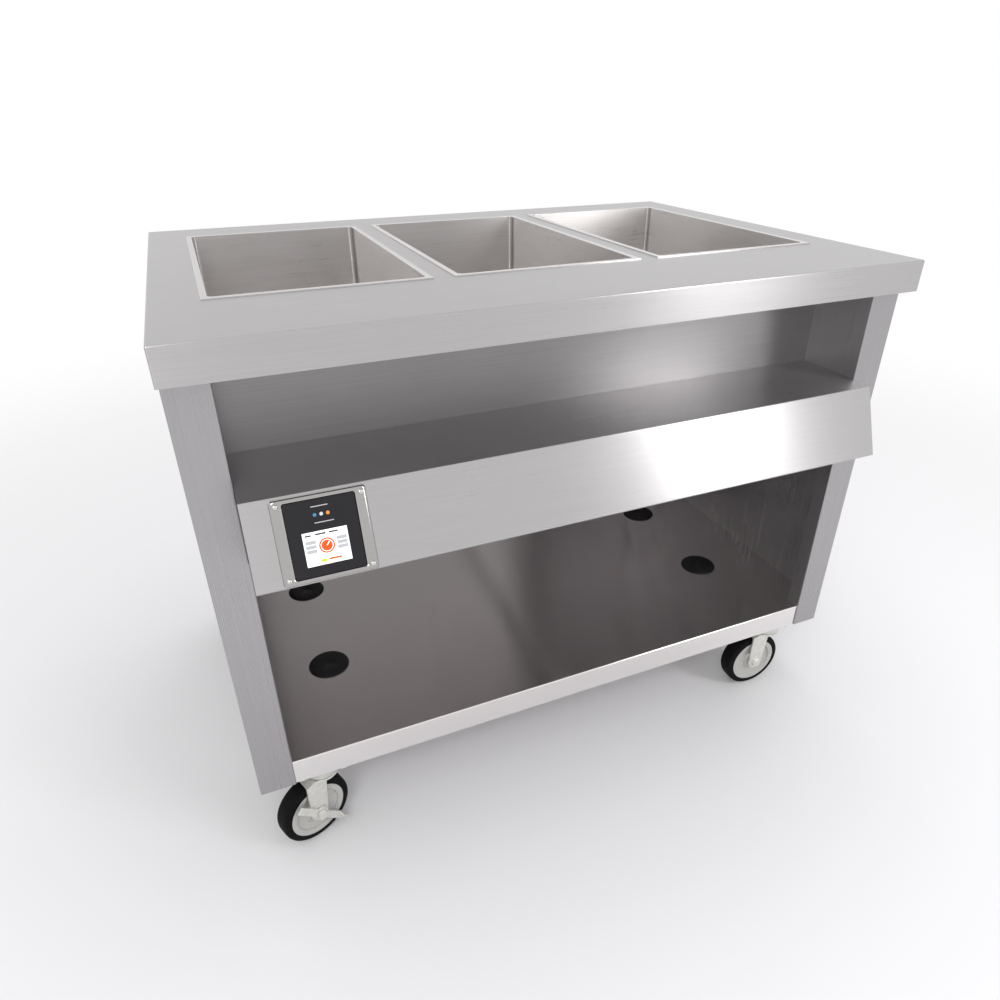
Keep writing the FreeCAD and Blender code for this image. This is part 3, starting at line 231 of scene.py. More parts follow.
@dataclass(frozen=True)
class MottledSolid:
    """A cast, plated or moulded surface: one colour, clouded a little, with a fine even relief."""

    name: str
    dark: str
    light: str
    roughness: float
    metallic: float = 0.0
    spread: float = 0.06
    mottle: float = 6.0
    grit: float = 0.5
    # How deep the grit looks, as a share of its height.
    grit_depth: float = 0.1
    grit_height: float = 0.1
    shine: float = 0.5

    def material(self) -> bpy.types.Material:
        """Make the mottled solid's material."""
        material, tree = start_material(self.name)
        place = add_node(tree, "ShaderNodeTexCoord").outputs["Object"]
        patches = add_node(tree, "ShaderNodeTexNoise", {"Vector": place, "Scale": 1 / (self.mottle * MM),
                                                        "Detail": 4.0, "Roughness": 0.6})
        grains = add_node(tree, "ShaderNodeTexNoise",
                          {"Vector": place, "Scale": 1 / (self.grit * MM), "Detail": 2.0})
        tone = add_node(tree, "ShaderNodeMapRange",
                        {"Value": patches.outputs["Fac"], "From Min": NOISE_LOW, "From Max": NOISE_HIGH})
        colour = add_node(tree, "ShaderNodeMix", {0: tone.outputs["Result"], 6: linear(self.dark),
                                                  7: linear(self.light)}, data_type="RGBA")
        gloss = add_node(tree, "ShaderNodeMapRange",
                         {"Value": patches.outputs["Fac"], "From Min": NOISE_LOW, "From Max": NOISE_HIGH,
                          "To Min": self.roughness + self.spread, "To Max": self.roughness - self.spread})
        relief = add_node(tree, "ShaderNodeBump",
                          {"Height": grains.outputs["Fac"], "Strength": self.grit_depth,
                           "Distance": self.grit_height * MM})
        shader = add_node(tree, "ShaderNodeBsdfPrincipled",
                          {"Base Color": colour.outputs[2], "Metallic": self.metallic,
                           "Specular IOR Level": self.shine, "Roughness": gloss.outputs["Result"],
                           "Normal": relief.outputs["Normal"]})
        end_material(tree, shader)
        return material


@dataclass(frozen=True)
class LitDisplay:
    """A backlit liquid crystal display under film: it glows evenly, over a fine grid of picture cells."""

    name: str
    colour: str
    glow: float
    cell: float = 0.6
    # The dark between the cells, and how much of it shows.
    gap: str = "#2A2C30"
    gap_share: float = 0.12
    film: float = 9.0
    smooth: float = 0.22
    rough: float = 0.34
    shine: float = 0.2

    def material(self) -> bpy.types.Material:
        """Make the lit display's material."""
        material, tree = start_material(self.name)
        place = add_node(tree, "ShaderNodeTexCoord").outputs["Object"]
        cells = add_node(tree, "ShaderNodeTexChecker",
                         {"Vector": place, "Scale": 1 / (self.cell * MM), "Color1": linear(self.colour),
                          "Color2": linear(self.gap)})
        film = add_node(tree, "ShaderNodeTexNoise",
                        {"Vector": place, "Scale": 1 / (self.film * MM), "Detail": 2.0})
        gloss = add_node(tree, "ShaderNodeMapRange",
                         {"Value": film.outputs["Fac"], "To Min": self.smooth, "To Max": self.rough})
        shade = add_node(tree, "ShaderNodeMix", {0: self.gap_share, 6: linear(self.colour),
                                                 7: cells.outputs["Color"]}, data_type="RGBA")
        shader = add_node(tree, "ShaderNodeBsdfPrincipled",
                          {"Base Color": shade.outputs[2], "Roughness": gloss.outputs["Result"],
                           "Specular IOR Level": self.shine, "Emission Color": linear(self.colour),
                           "Emission Strength": self.glow})
        end_material(tree, shader)
        return material


# Belt-polished stainless, No. 4 finish: a grey satin sheet whose lines run along its length.
SHEET_LENGTHWISE = BrushedSteel("stainless_belt_polished_lengthwise", Grain.LENGTHWISE)
# The same sheet with its lines upright, as folded for the end walls, made a darker grey: painted shade on the
# end walls and recess sides.
SHEET_UPRIGHT_PAINTED_SHADE = BrushedSteel("stainless_belt_polished_upright_painted_shade", Grain.UPRIGHT, dark="#A5A3A5",
                             light="#ACAAAC", roughness=0.28, smear=0.75, metallic=0.92, spread=0.015,
                             line_length=400.0, line_depth=0.007)
# The same sheet where it closes the back of the recess, made a darker grey: painted shade for the recess's
# shadow.
SHEET_RECESS_PAINTED_SHADE = BrushedSteel("stainless_belt_polished_recess_painted_shade", Grain.LENGTHWISE, dark="#949293",
                            light="#9C9A9B", roughness=0.33)
# Bright-rolled stainless in the storage bay, a smoother sheet; its much paler colour is painted light that
# lifts the bay and the pan over it out of their shade. A little clouded, it still shows the room in soft
# bands.
SHEET_ROLLED_PAINTED_LIGHT = BrushedSteel("stainless_bright_rolled_painted_light", Grain.LENGTHWISE, dark="#E7E4E3", light="#EDEAE9",
                            roughness=0.17, spread=0.02, line_width=1.6, cloud=220.0)
# Deep-drawn stainless, rubbed level round the walls, made paler than the top sheet: painted light in the
# wells' shade.
DRAWN_WELL_PAINTED_LIGHT = BrushedSteel("stainless_drawn_well_painted_light", Grain.LEVEL_ROUND, dark="#CAC7C6", light="#D2CFCE",
                          roughness=0.3, metallic=0.96, line_length=90.0, line_width=2.2, cloud=80.0)
# Bright machined stainless plate with a fine buffed surface.
BUFFED_PLATE = BrushedSteel("stainless_buffed_plate", Grain.LENGTHWISE, dark="#A9A7A5", light="#B5B3B1",
                            roughness=0.1, spread=0.03, smear=0.2, line_width=0.5, line_depth=0.01)
# Zinc-plated pressed steel: a pale warm grey, patchy and half matt.
ZINC_PLATE = MottledSolid("steel_zinc_plated", "#D2D2CD", "#E1E1DC", 0.42, metallic=0.75, mottle=9.0)
# Turned stainless screw heads, nearly bright.
BRIGHT_SCREW = MottledSolid("stainless_cold_headed", "#C9C8C6", "#D9D8D6", 0.2, metallic=1.0, mottle=3.0,
                            grit_depth=0.04)
# Moulded rubber: deep black with a dull bloom.
TYRE_RUBBER = MottledSolid("rubber_moulded", "#060606", "#0B0B0B", 0.7, mottle=12.0, grit=0.8, grit_depth=0.2,
                           shine=0.12)
# Moulded polyolefin wheel core: mid grey with a soft gloss.
WHEEL_CORE = MottledSolid("polyolefin_moulded_grey", "#A8A8A5", "#B1B1AE", 0.4, mottle=15.0)
# Moulded black polythene caps and nylon fittings.
BLACK_MOULDING = MottledSolid("nylon_moulded_black", "#121113", "#1C1B1D", 0.5, mottle=8.0, grit_depth=0.2)
# Silk-screened black acrylic over the control unit.
BLACK_ACRYLIC = MottledSolid("acrylic_screened_black", "#17151A", "#1C1A1F", 0.34, mottle=25.0,
                             grit_depth=0.03, shine=0.3)
# Magnesia-filled heater tube, dulled by heat to a brown grey.
HEATED_SHEATH = MottledSolid("alloy_sheath_oxidised", "#55504B", "#736A60", 0.5, metallic=0.9, mottle=20.0)
# Mineral wool slab: straw yellow, with a rough open surface.
MINERAL_WOOL = MottledSolid("mineral_wool_slab", "#B7A878", "#D2C59A", 0.95, mottle=5.0, grit=1.5,
                            grit_depth=0.9)
# Glass-fibre circuit board under green lacquer.
GREEN_BOARD = MottledSolid("fibreglass_lacquered_green", "#13402A", "#1C5638", 0.3, mottle=7.0)

# Lit parts of the display.
DISPLAY_GROUND = LitDisplay("display_backlit_white", "#FDFDFD", 0.45)
DISPLAY_ORANGE = LitDisplay("display_backlit_orange", "#F2541B", 0.35)
DISPLAY_GREY = LitDisplay("display_backlit_grey", "#B4B7BB", 0.12)
DISPLAY_DARK = LitDisplay("display_backlit_charcoal", "#44464B", 0.03)
DISPLAY_LIME = LitDisplay("display_backlit_lime", "#B9C931", 0.3)
LAMP_BLUE = LitDisplay("indicator_lens_blue", "#3F7FA6", 0.25)
LAMP_AMBER = LitDisplay("indicator_lens_amber", "#E58A3C", 0.3)
LAMP_CLEAR = LitDisplay("indicator_lens_clear", "#C9CDD0", 0.1)

MADE: dict[str, bpy.types.Material] = {}


def coated(piece: bpy.types.Object, finish: Finish) -> None:
    """Give a piece its finish, making the material the first time it is used.

    Args:
        piece: the object to dress.
        finish: what its surface is.
    """
    if finish.name not in MADE:
        MADE[finish.name] = finish.material()
    piece.data.materials.clear()
    piece.data.materials.append(MADE[finish.name])


def dress(finish: Finish, *names: str) -> None:
    """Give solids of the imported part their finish.

    Args:
        finish: what their surface is.
        names: the solids' names.
    """
    for name in names:
        coated(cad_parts[name], finish)
        LOG.info("%s: %s", name, finish.name)


def soften(piece: bpy.types.Object, width: float, loose: bool = False) -> None:
    """Break a piece's sharp edges with a small rounding.

    Args:
        piece: the object to soften.
        width: how wide the broken edge is.
        loose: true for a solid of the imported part, whose triangles are first joined and merged.
    """
    if loose:
        weld = piece.modifiers.new("join", "WELD")
        weld.merge_threshold = SAME_CORNER * MM
        flat = piece.modifiers.new("merge", "DECIMATE")
        flat.decimate_type = "DISSOLVE"
        flat.angle_limit = math.radians(FLAT_ANGLE)
    edge = piece.modifiers.new("broken_edges", "BEVEL")
    edge.width = width * MM
    edge.segments = EDGE_STEPS
    edge.limit_method = "ANGLE"
    edge.angle_limit = math.radians(EDGE_ANGLE)
    edge.harden_normals = True


def finished(mesh: bmesh.types.BMesh, name: str, finish: Finish, body: str,
             placing: Optional[Matrix] = None) -> bpy.types.Object:
    """Turn a modelled shape into a piece that rides on a body.

    Args:
        mesh: the shape, in metres; it is used up.
        name: the piece's name.
        finish: what its surface is.
        body: the body that it moves with.
        placing: where the shape goes, if it was drawn about the origin.

    Returns:
        The new piece, at the origin, with its place in its mesh.
    """
    bmesh.ops.remove_doubles(mesh, verts=mesh.verts, dist=SAME_POINT * MM)
    bmesh.ops.recalc_face_normals(mesh, faces=mesh.faces)
    if placing is not None:
        bmesh.ops.transform(mesh, matrix=placing, verts=mesh.verts)
    data = bpy.data.meshes.new(name)
    mesh.to_mesh(data)
    mesh.free()
    data.shade_smooth()
    data.set_sharp_from_angle(angle=math.radians(SHARP_ANGLE))
    piece = bpy.data.objects.new(name, data)
    bpy.context.scene.collection.objects.link(piece)
    coated(piece, finish)
    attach(piece, body)
    LOG.info("%s: made, %d faces, rides on %s", name, len(data.polygons), body)
    return piece


def turned(mesh: bmesh.types.BMesh, profile: Sequence[tuple[float, float]], steps: int = 64,
           ring: bool = False) -> list[bmesh.types.BMVert]:
    """Add a shape turned about the Z axis.

    Args:
        mesh: the bmesh that gets it.
        profile: radius and height of each point, in millimetres, in order.
        steps: how many facets go round.
        ring: true where the profile closes on itself.

    Returns:
        The new shape's points.
    """
    before = set(mesh.verts)
    points = [mesh.verts.new((radius * MM, 0, height * MM)) for radius, height in profile]
    pairs = list(zip(points, points[1:]))
    if ring:
        pairs.append((points[-1], points[0]))
    edges = [mesh.edges.new(pair) for pair in pairs]
    bmesh.ops.spin(mesh, geom=points + edges, cent=(0, 0, 0), axis=(0, 0, 1), angle=2 * math.pi, steps=steps,
                   use_merge=True)
    return [vert for vert in mesh.verts if vert not in before]


def plate(mesh: bmesh.types.BMesh, size: tuple[float, float, float], corner: float,
          middle: tuple[float, float], low: float = 0.0) -> None:
    """Add a flat plate with rounded corners.

    Args:
        mesh: the bmesh that gets it.
        size: width, height and thickness in millimetres.
        corner: the corners' radius.
        middle: where its middle is, across and up.
        low: the height of its underside.
    """
    width, height, thickness = size
    scale = Matrix.Diagonal((width * MM, height * MM, thickness * MM, 1))
    shift = Matrix.Translation(Vector((middle[0], middle[1], low + thickness / 2)) * MM)
    made = bmesh.ops.create_cube(mesh, size=1, matrix=shift @ scale)["verts"]
    edges = {edge for vert in made for edge in vert.link_edges}
    upright = [edge for edge in edges if abs(edge.verts[0].co.z - edge.verts[1].co.z) > thickness * MM / 2]
    bmesh.ops.bevel(mesh, geom=upright, offset=corner * MM, offset_type="OFFSET", affect="EDGES",
                    segments=CORNER_STEPS, profile=0.5, material=-1)


def rounded_loop(mesh: bmesh.types.BMesh, size: tuple[float, float],
                 corner: float) -> list[bmesh.types.BMEdge]:
    """Add an open loop of edges round a flat rectangle with rounded corners.

    Args:
        mesh: the bmesh that gets it.
        size: the rectangle's width and height.
        corner: the corners' radius.

    Returns:
        The loop's edges.
    """
    scale = Matrix.Diagonal((size[0] * MM, size[1] * MM, 1, 1))
    made = bmesh.ops.create_grid(mesh, x_segments=1, y_segments=1, size=0.5, matrix=scale)["verts"]
    bmesh.ops.bevel(mesh, geom=made, offset=corner * MM, offset_type="OFFSET", affect="VERTICES",
                    segments=CORNER_STEPS, profile=0.5, material=-1)
    bmesh.ops.delete(mesh, geom=list(mesh.faces), context="FACES_ONLY")
    return list(mesh.edges)


@dataclass
class Worktop:
    """The top sheet with its three drawn wells."""

    wells: tuple[str, ...] = ("left", "centre", "right")

    def build(self) -> None:
        """Dress the top, the wells and the heating under them."""
        dress(SHEET_LENGTHWISE, "worktop")
        for side in self.wells:
            # The wells are given the paler drawn sheet: painted light.
            dress(DRAWN_WELL_PAINTED_LIGHT, f"well_liner_{side}")
            dress(HEATED_SHEATH, f"heater_{side}")
        dress(MINERAL_WOOL, "well_insulation")
        # The pan under the wells is given the pale bay sheet: painted light.
        dress(SHEET_ROLLED_PAINTED_LIGHT, "well_floor_pan")
        dress(ZINC_PLATE, "heater_clamp_plates", "top_rail_front", "top_rail_rear")


@dataclass
class BodyShell:
    """The folded sheets of the body: end walls, back, recess, shelves and base rails."""

    rivet_radius: float = 4.2
    rivet_height: float = 1.3
    rivet_pitch: float = 118.0
    rivet_inset: float = 24.0

    def build(self) -> None:
        """Dress the sheets and rivet the back."""
        # End walls and recess sides are given the darker upright sheet: painted shade.
        dress(SHEET_UPRIGHT_PAINTED_SHADE, "end_panel_left", "end_panel_right", "recess_side_left", "recess_side_right")
        # The recess's back wall is given the darker sheet: painted shade.
        dress(SHEET_RECESS_PAINTED_SHADE, "recess_back_wall")
        dress(SHEET_LENGTHWISE, "work_shelf", "apron_cap_left", "apron_cap_right", "apron_cover",
              "base_rail_front", "base_rail_rear", "rear_panel")
        # The storage floor is given the pale bay sheet: painted light for the bay's shade.
        dress(SHEET_ROLLED_PAINTED_LIGHT, "lower_shelf")
        self.rivet_back()

    def rivet_back(self) -> None:
        """Set a row of domed rivets up each rear flange."""
        mesh = bmesh.new()
        radius, height = self.rivet_radius, self.rivet_height
        dome = [(0.0, height), (0.45 * radius, 0.92 * height), (0.8 * radius, 0.6 * height), (radius, 0.0)]
        lying = Matrix.Rotation(math.radians(-90), 4, "X")
        for side in ("left", "right"):
            low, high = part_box(f"end_panel_{side}")
            inner = high.x if side == "left" else low.x
            outward = 1 if side == "left" else -1
            x = inner - outward * self.rivet_inset * MM
            count = int((high.z - low.z) / (self.rivet_pitch * MM))
            start = (low.z + high.z) / 2 - (count - 1) / 2 * self.rivet_pitch * MM
            for step in range(count):
                spot = Matrix.Translation((x, high.y, start + step * self.rivet_pitch * MM))
                bmesh.ops.transform(mesh, matrix=spot @ lying, verts=turned(mesh, dome, steps=20))
        piece = finished(mesh, "rear_rivets", BRIGHT_SCREW, STILL_BODY)


@dataclass
class StorageFloor:
    """The moulded caps in the storage floor."""

    radius: float = 37.5
    height: float = 2.5
    skirt: float = 31.7
    wall: float = 2.0
    skirt_depth: float = 8.0
    dimple: float = 3.0

    def build(self) -> None:
        """Model the four caps and put them over the floor's holes."""
        low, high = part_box("floor_hole_plugs")
        rim = self.radius
        top = self.height
        inside = self.skirt - self.wall
        # A dimple in the middle, a ring groove, a rounded rim, and a skirt with a broken edge in the hole.
        profile = [(0.0, top - 1.3), (self.dimple - 0.8, top - 1.3), (self.dimple, top - 0.4),
                   (self.dimple + 0.8, top), (rim - 9.0, top), (rim - 8.4, top - 0.4), (rim - 7.6, top - 0.4),
                   (rim - 7.0, top), (rim - 3.0, top - 0.2), (rim - 1.0, top - 0.8), (rim, top - 1.9),
                   (rim, 0.0), (self.skirt, 0.0), (self.skirt, 0.6 - self.skirt_depth),
                   (self.skirt - 0.6, -self.skirt_depth), (inside, -self.skirt_depth), (inside, 0.0),
                   (0.0, 0.0)]
        mesh = bmesh.new()
        floor_z = high.z - top * MM
        for x in (low.x + rim * MM, high.x - rim * MM):
            for y in (low.y + rim * MM, high.y - rim * MM):
                bmesh.ops.translate(mesh, vec=(x, y, floor_z), verts=turned(mesh, profile, steps=72))
        piece = finished(mesh, "storage_floor_caps", BLACK_MOULDING, STILL_BODY)
        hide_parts("floor_hole_plugs")


@dataclass
class ControlPanel:
    """The control unit on the slanted apron, drawn flat and then stood on the apron."""

    middle: tuple[float, float, float] = (-427.2, -406.614, 650.272)
    tilt: float = 20.4
    face_level: float = 5.0
    screen_level: float = 4.8
    screen_middle: tuple[float, float] = (0.0, -14.0)
    bezel_level: float = 6.0
    bezel_size: tuple[float, float] = (125.0, 114.1)
    bezel_corner: float = 4.0
    stile: float = 16.5
    rail: float = 6.5
    screw_edge: float = 8.0
    screw_radius: float = 3.5
    screw_height: float = 2.0
    screw_steps: int = 36
    ink: float = 0.12
    dial_rise: float = 2.0
    dial_radius: float = 10.2
    # Inner and outer radius of the dial's ring, and width and length of its hand.
    ring: tuple[float, float] = (7.2, 8.2)
    hand: tuple[float, float] = (1.3, 6.4)
    hand_turn: float = -40.0
    lamp_rise: float = 30.0
    lamp_pitch: float = 8.5
    # Across, up and width of each printed line on the face.
    printed: tuple[tuple[float, float, float], ...] = ((-1.0, 41.0, 22.0), (2.0, 19.5, 25.0))
    printed_height: float = 1.2

    def placing(self) -> Matrix:
        """Where the flat drawing goes: its middle on the bezel's middle, its top facing out of the apron."""
        turn = Matrix.Rotation(math.radians(90 - self.tilt), 4, "X")
        return Matrix.Translation(Vector(self.middle) * MM) @ turn

    def build(self) -> None:
        """Dress the unit and draw its screws, display and lamps."""
        dress(BLACK_ACRYLIC, "control_face")
        dress(DISPLAY_GROUND, "display_screen")
        dress(BLACK_MOULDING, "control_housing", "terminal_block")
        dress(GREEN_BOARD, "control_board")
        dress(ZINC_PLATE, "power_box", "supply_conduit")
        self.press_bezel()
        self.drive_screws()
        self.draw_display()
        self.set_lamps()

    def press_bezel(self) -> None:
        """Press the bezel: a frame with round outer edges, a faintly crowned face and a rolled inner lip."""
        mesh = bmesh.new()
        top = self.bezel_level
        # Share of the frame's width from its outer edge, and height, from the outer edge to the inner lip.
        profile = [(0.0, 0.0), (0.0, top - 3.6), (0.03, top - 2.6), (0.1, top - 1.3), (0.18, top - 0.45),
                   (0.27, top - 0.08), (0.36, top), (0.64, top), (0.76, top - 0.12), (0.86, top - 0.6),
                   (0.94, top - 1.5), (1.0, top - 2.8), (1.0, 0.6)]
        bands = (self.stile, self.rail)
        loop = rounded_loop(mesh, self.bezel_size, self.bezel_corner)
        for (share, height), (next_share, next_height) in zip(profile, profile[1:]):
            grown = bmesh.ops.extrude_edge_only(mesh, edges=loop)["geom"]
            corners = [item for item in grown if isinstance(item, bmesh.types.BMVert)]
            loop = [item for item in grown if isinstance(item, bmesh.types.BMEdge) and item.is_boundary]
            across, up = [(full - 2 * next_share * band) / (full - 2 * share * band)
                          for full, band in zip(self.bezel_size, bands)]
            bmesh.ops.scale(mesh, vec=(across, up, 1), verts=corners)
            bmesh.ops.translate(mesh, vec=(0, 0, (next_height - height) * MM), verts=corners)
        piece = finished(mesh, "bezel_pressed_frame", BUFFED_PLATE, STILL_BODY, self.placing())
        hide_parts("control_bezel")

    def drive_screws(self) -> None:
        """Model the four button-head screws with their six-sided sockets."""
        mesh = bmesh.new()
        radius, height = self.screw_radius, self.screw_height
        socket = 0.42 * radius
        for sign_x in (-1, 1):
            for sign_y in (-1, 1):
                before = set(mesh.verts)
                dome = [(socket * 1.2, height), (0.7 * radius, 0.9 * height), (0.92 * radius, 0.55 * height),
                        (radius, 0.15 * height), (radius, 0.0)]
                turned(mesh, dome, steps=self.screw_steps)
                hexagon = bmesh.ops.create_circle(mesh, cap_ends=False, radius=socket * MM,
                                                  segments=self.screw_steps)["verts"]
                # The circle's points are pulled in to the sides of a six-sided socket.
                for vert in hexagon:
                    turn = math.atan2(vert.co.y, vert.co.x) % (math.pi / 3) - math.pi / 6
                    vert.co *= math.cos(math.pi / 6) / math.cos(turn)
                    vert.co.z = 0.99 * height * MM
                inner = [edge for edge in mesh.edges if edge.verts[0] in hexagon and edge.verts[1] in hexagon]
                brim = [edge for edge in mesh.edges if edge.is_boundary and edge not in inner
                        and all(abs(vert.co.z - height * MM) < 1e-7 for vert in edge.verts)
                        and edge.verts[0] not in before]
                bmesh.ops.bridge_loops(mesh, edges=inner + brim)
                sunk = bmesh.ops.extrude_edge_only(mesh, edges=inner)["geom"]
                deep = [item for item in sunk if isinstance(item, bmesh.types.BMVert)]
                bmesh.ops.translate(mesh, vec=(0, 0, -0.7 * height * MM), verts=deep)
                bmesh.ops.contextual_create(mesh, geom=[item for item in sunk
                                                        if isinstance(item, bmesh.types.BMEdge)])
                fresh = [vert for vert in mesh.verts if vert not in before]
                spot = (sign_x * (self.bezel_size[0] / 2 - self.screw_edge) * MM,
                        sign_y * (self.bezel_size[1] / 2 - self.screw_edge) * MM, self.bezel_level * MM)
                bmesh.ops.translate(mesh, vec=spot, verts=fresh)
        piece = finished(mesh, "bezel_button_screws", BRIGHT_SCREW, STILL_BODY, self.placing())
        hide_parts("bezel_screws")

    def inlay(self, name: str, finish: Finish,
              plates: Sequence[tuple[float, float, float, float, float]]) -> None:
        """Lay thin coloured fields on the display.

        Args:
            name: the piece's name.
            finish: the fields' colour.
            plates: across, up, width, height and corner of each, from the screen's middle.
        """
        mesh = bmesh.new()
        for across, up, width, height, corner in plates:
            middle = (self.screen_middle[0] + across, self.screen_middle[1] + up)
            plate(mesh, (width, height, self.ink), corner, middle, self.screen_level)
        piece = finished(mesh, name, finish, STILL_BODY, self.placing())

    def draw_display(self) -> None:
        """Draw a plain heating page: a round dial with a hand, side tiles, a title bar and a status bar."""
        self.inlay("display_title_bar", DISPLAY_DARK,
                   [(-22.0, 18.2, 8.0, 2.2, 0.6), (-6.0, 18.6, 14.0, 2.2, 0.6), (11.0, 18.6, 12.0, 2.2, 0.6)])
        tiles = [(side * 20.0, 3.0 - 6.0 * row, 13.5, 4.8, 0.8) for side in (-1, 1) for row in (-1, 0, 1)]
        self.inlay("display_side_tiles", DISPLAY_GREY, tiles)
        self.inlay("display_status_lamp", DISPLAY_LIME, [(-7.0, -17.0, 8.0, 3.6, 1.6)])
        self.inlay("display_status_bar", DISPLAY_ORANGE, [(8.0, -16.4, 17.0, 2.4, 1.0)])
        across, up = self.screen_middle
        disc = bmesh.new()
        turned(disc, [(0.0, self.ink), (self.dial_radius, self.ink), (self.dial_radius, 0.0)])
        middle = Vector((across, up + self.dial_rise, self.screen_level)) * MM
        spot = self.placing() @ Matrix.Translation(middle)
        finished(disc, "display_dial", DISPLAY_ORANGE, STILL_BODY, spot)
        inner, outer = self.ring
        marks = bmesh.new()
        turned(marks, [(inner, self.ink), (outer, self.ink), (outer, 0.0), (inner, 0.0)], ring=True)
        plate(marks, (*self.hand, self.ink), 0.6, (0.0, 3.0))
        swung = Matrix.Rotation(math.radians(self.hand_turn), 4, "Z")
        raised = spot @ swung @ Matrix.Translation((0, 0, self.ink * MM))
        finished(marks, "display_dial_hand", DISPLAY_GROUND, STILL_BODY, raised)

    def set_lamps(self) -> None:
        """Set a row of small round indicator lenses in the face, above the display, between printed lines."""
        lens = [(0.0, 0.6), (1.4, 0.5), (2.1, 0.28), (2.4, 0.0)]
        lamps = (("indicator_left", LAMP_BLUE, -1), ("indicator_middle", LAMP_CLEAR, 0),
                 ("indicator_right", LAMP_AMBER, 1))
        for name, finish, step in lamps:
            mesh = bmesh.new()
            turned(mesh, lens, steps=28)
            spot = Matrix.Translation(Vector((step * self.lamp_pitch, self.lamp_rise, self.face_level)) * MM)
            finished(mesh, name, finish, STILL_BODY, self.placing() @ spot)
        # The printed lines take the display's faint grey glow, though they are only print: painted glow.
        mesh = bmesh.new()
        for across, up, width in self.printed:
            plate(mesh, (width, self.printed_height, self.ink), 0.5, (across, up), self.face_level)
        finished(mesh, "face_printed_lines_painted_glow", DISPLAY_GREY, STILL_BODY, self.placing())


@dataclass
class CordGland:
    """The moulded gland in the back that clamps the supply cord."""

    edge: float = 1.0

    def build(self) -> None:
        """Dress the gland and break its edges."""
        dress(BLACK_MOULDING, "cord_gland")
        soften(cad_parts["cord_gland"], self.edge, loose=True)


@dataclass
class Caster:
    """One swivel caster: pressed fork, cored wheel with a rubber tyre, and a foot brake on some."""

    place: str
    swivel: float
    braked: bool = False
    wheel_radius: float = 63.5
    half_width: float = 16.0
    tyre: float = 13.0
    boss: float = 15.0
    boss_half: float = 18.7
    bore: float = 5.05
    edge: float = 0.7
    steps: int = 96

    def placing(self) -> Matrix:
        """Where a wheel drawn about Z goes: its middle on the axle, its axis along the axle."""
        low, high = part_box(f"caster_tyre_{self.place}")
        lying = Matrix.Rotation(math.radians(self.swivel), 4, "Z") @ Matrix.Rotation(math.radians(90), 4, "X")
        return Matrix.Translation((low + high) / 2) @ lying

    def build(self) -> None:
        """Model the wheel and dress the pressed parts."""
        self.mould_tyre()
        self.mould_core()
        metal = [f"caster_fork_{self.place}", f"caster_plate_{self.place}", f"caster_axle_{self.place}"]
        if self.braked:
            metal.append(f"brake_lever_{self.place}")
        dress(ZINC_PLATE, *metal)
        for name in metal:
            soften(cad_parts[name], self.edge, loose=True)

    def mould(self, name: str, finish: Finish, side: list[tuple[float, float]]) -> bpy.types.Object:
        """Turn a part of the wheel that is the same on both sides.

        Args:
            name: the piece's name.
            finish: what its surface is.
            side: radius and height of one side's profile, from the bore outwards.

        Returns:
            The new piece, riding on the wheel.
        """
        profile = side + [(radius, -along) for radius, along in reversed(side)]
        mesh = bmesh.new()
        turned(mesh, profile, steps=self.steps, ring=True)
        return finished(mesh, name, finish, f"wheel_{self.place}", self.placing())

    def mould_tyre(self) -> None:
        """Mould the tyre: a flat tread with round shoulders and a shallow groove on each side."""
        outer, half = self.wheel_radius, self.half_width
        inner = outer - self.tyre
        # From the bore past the groove and over the shoulder to the tread.
        side = [(inner, half), (inner + 3.0, half), (inner + 3.6, half - 0.5), (inner + 4.4, half - 0.5),
                (inner + 5.0, half), (outer - 3.6, half - 0.7), (outer - 1.4, half - 2.4),
                (outer - 0.3, half - 5.4), (outer, half - 9.0)]
        piece = self.mould(f"tyre_{self.place}", TYRE_RUBBER, side)
        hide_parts(f"caster_tyre_{self.place}")

    def mould_core(self) -> None:
        """Mould the core: rim, dished web and a boss that runs on the axle."""
        half = self.half_width
        rim = self.wheel_radius - self.tyre
        # From the bore over the boss, down into the dish and up again to the rim.
        side = [(self.bore, self.boss_half), (self.boss - 1.2, self.boss_half),
                (self.boss, self.boss_half - 1.2), (self.boss, half), (20.0, half), (21.2, half - 0.4),
                (23.0, half - 3.4), (25.0, half - 4.0), (38.0, half - 4.0), (39.6, half - 3.4),
                (41.0, half - 0.6), (42.2, half), (rim, half)]
        piece = self.mould(f"wheel_core_{self.place}", WHEEL_CORE, side)
        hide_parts(f"caster_hub_{self.place}")


@dataclass
class CasterSet:
    """The four casters with their balls and bolts."""

    bolt_edge: float = 0.6

    def build(self) -> None:
        """Build each caster and dress what they share."""
        casters = (Caster("front_left", 22.0, braked=True), Caster("front_right", -2.0, braked=True),
                   Caster("rear_left", 8.0), Caster("rear_right", 14.0))
        for caster in casters:
            caster.build()
        dress(BRIGHT_SCREW, "swivel_balls")
        dress(ZINC_PLATE, "caster_bolts")
        soften(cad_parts["caster_bolts"], self.bolt_edge, loose=True)


@dataclass(frozen=True)
class SoftBox:
    """A rectangular soft box that faces one point, with its output in watts."""

    name: str
    place: tuple[float, float, float]
    aim: tuple[float, float, float]
    size: tuple[float, float]
    power: float
    # True where the steel shows it.
    mirrored: bool = False

    def hang(self) -> None:
        """Hang the box and turn it to its point."""
        lamp = bpy.data.lights.new(self.name, "AREA")
        lamp.shape = "RECTANGLE"
        lamp.size, lamp.size_y = [side * MM for side in self.size]
        lamp.energy = self.power
        holder = bpy.data.objects.new(self.name, lamp)
        bpy.context.scene.collection.objects.link(holder)
        start = Vector(self.place) * MM
        holder.location = start
        holder.rotation_euler = (Vector(self.aim) * MM - start).to_track_quat("-Z", "Y").to_euler()
        holder.visible_camera = False
        holder.visible_glossy = self.mirrored


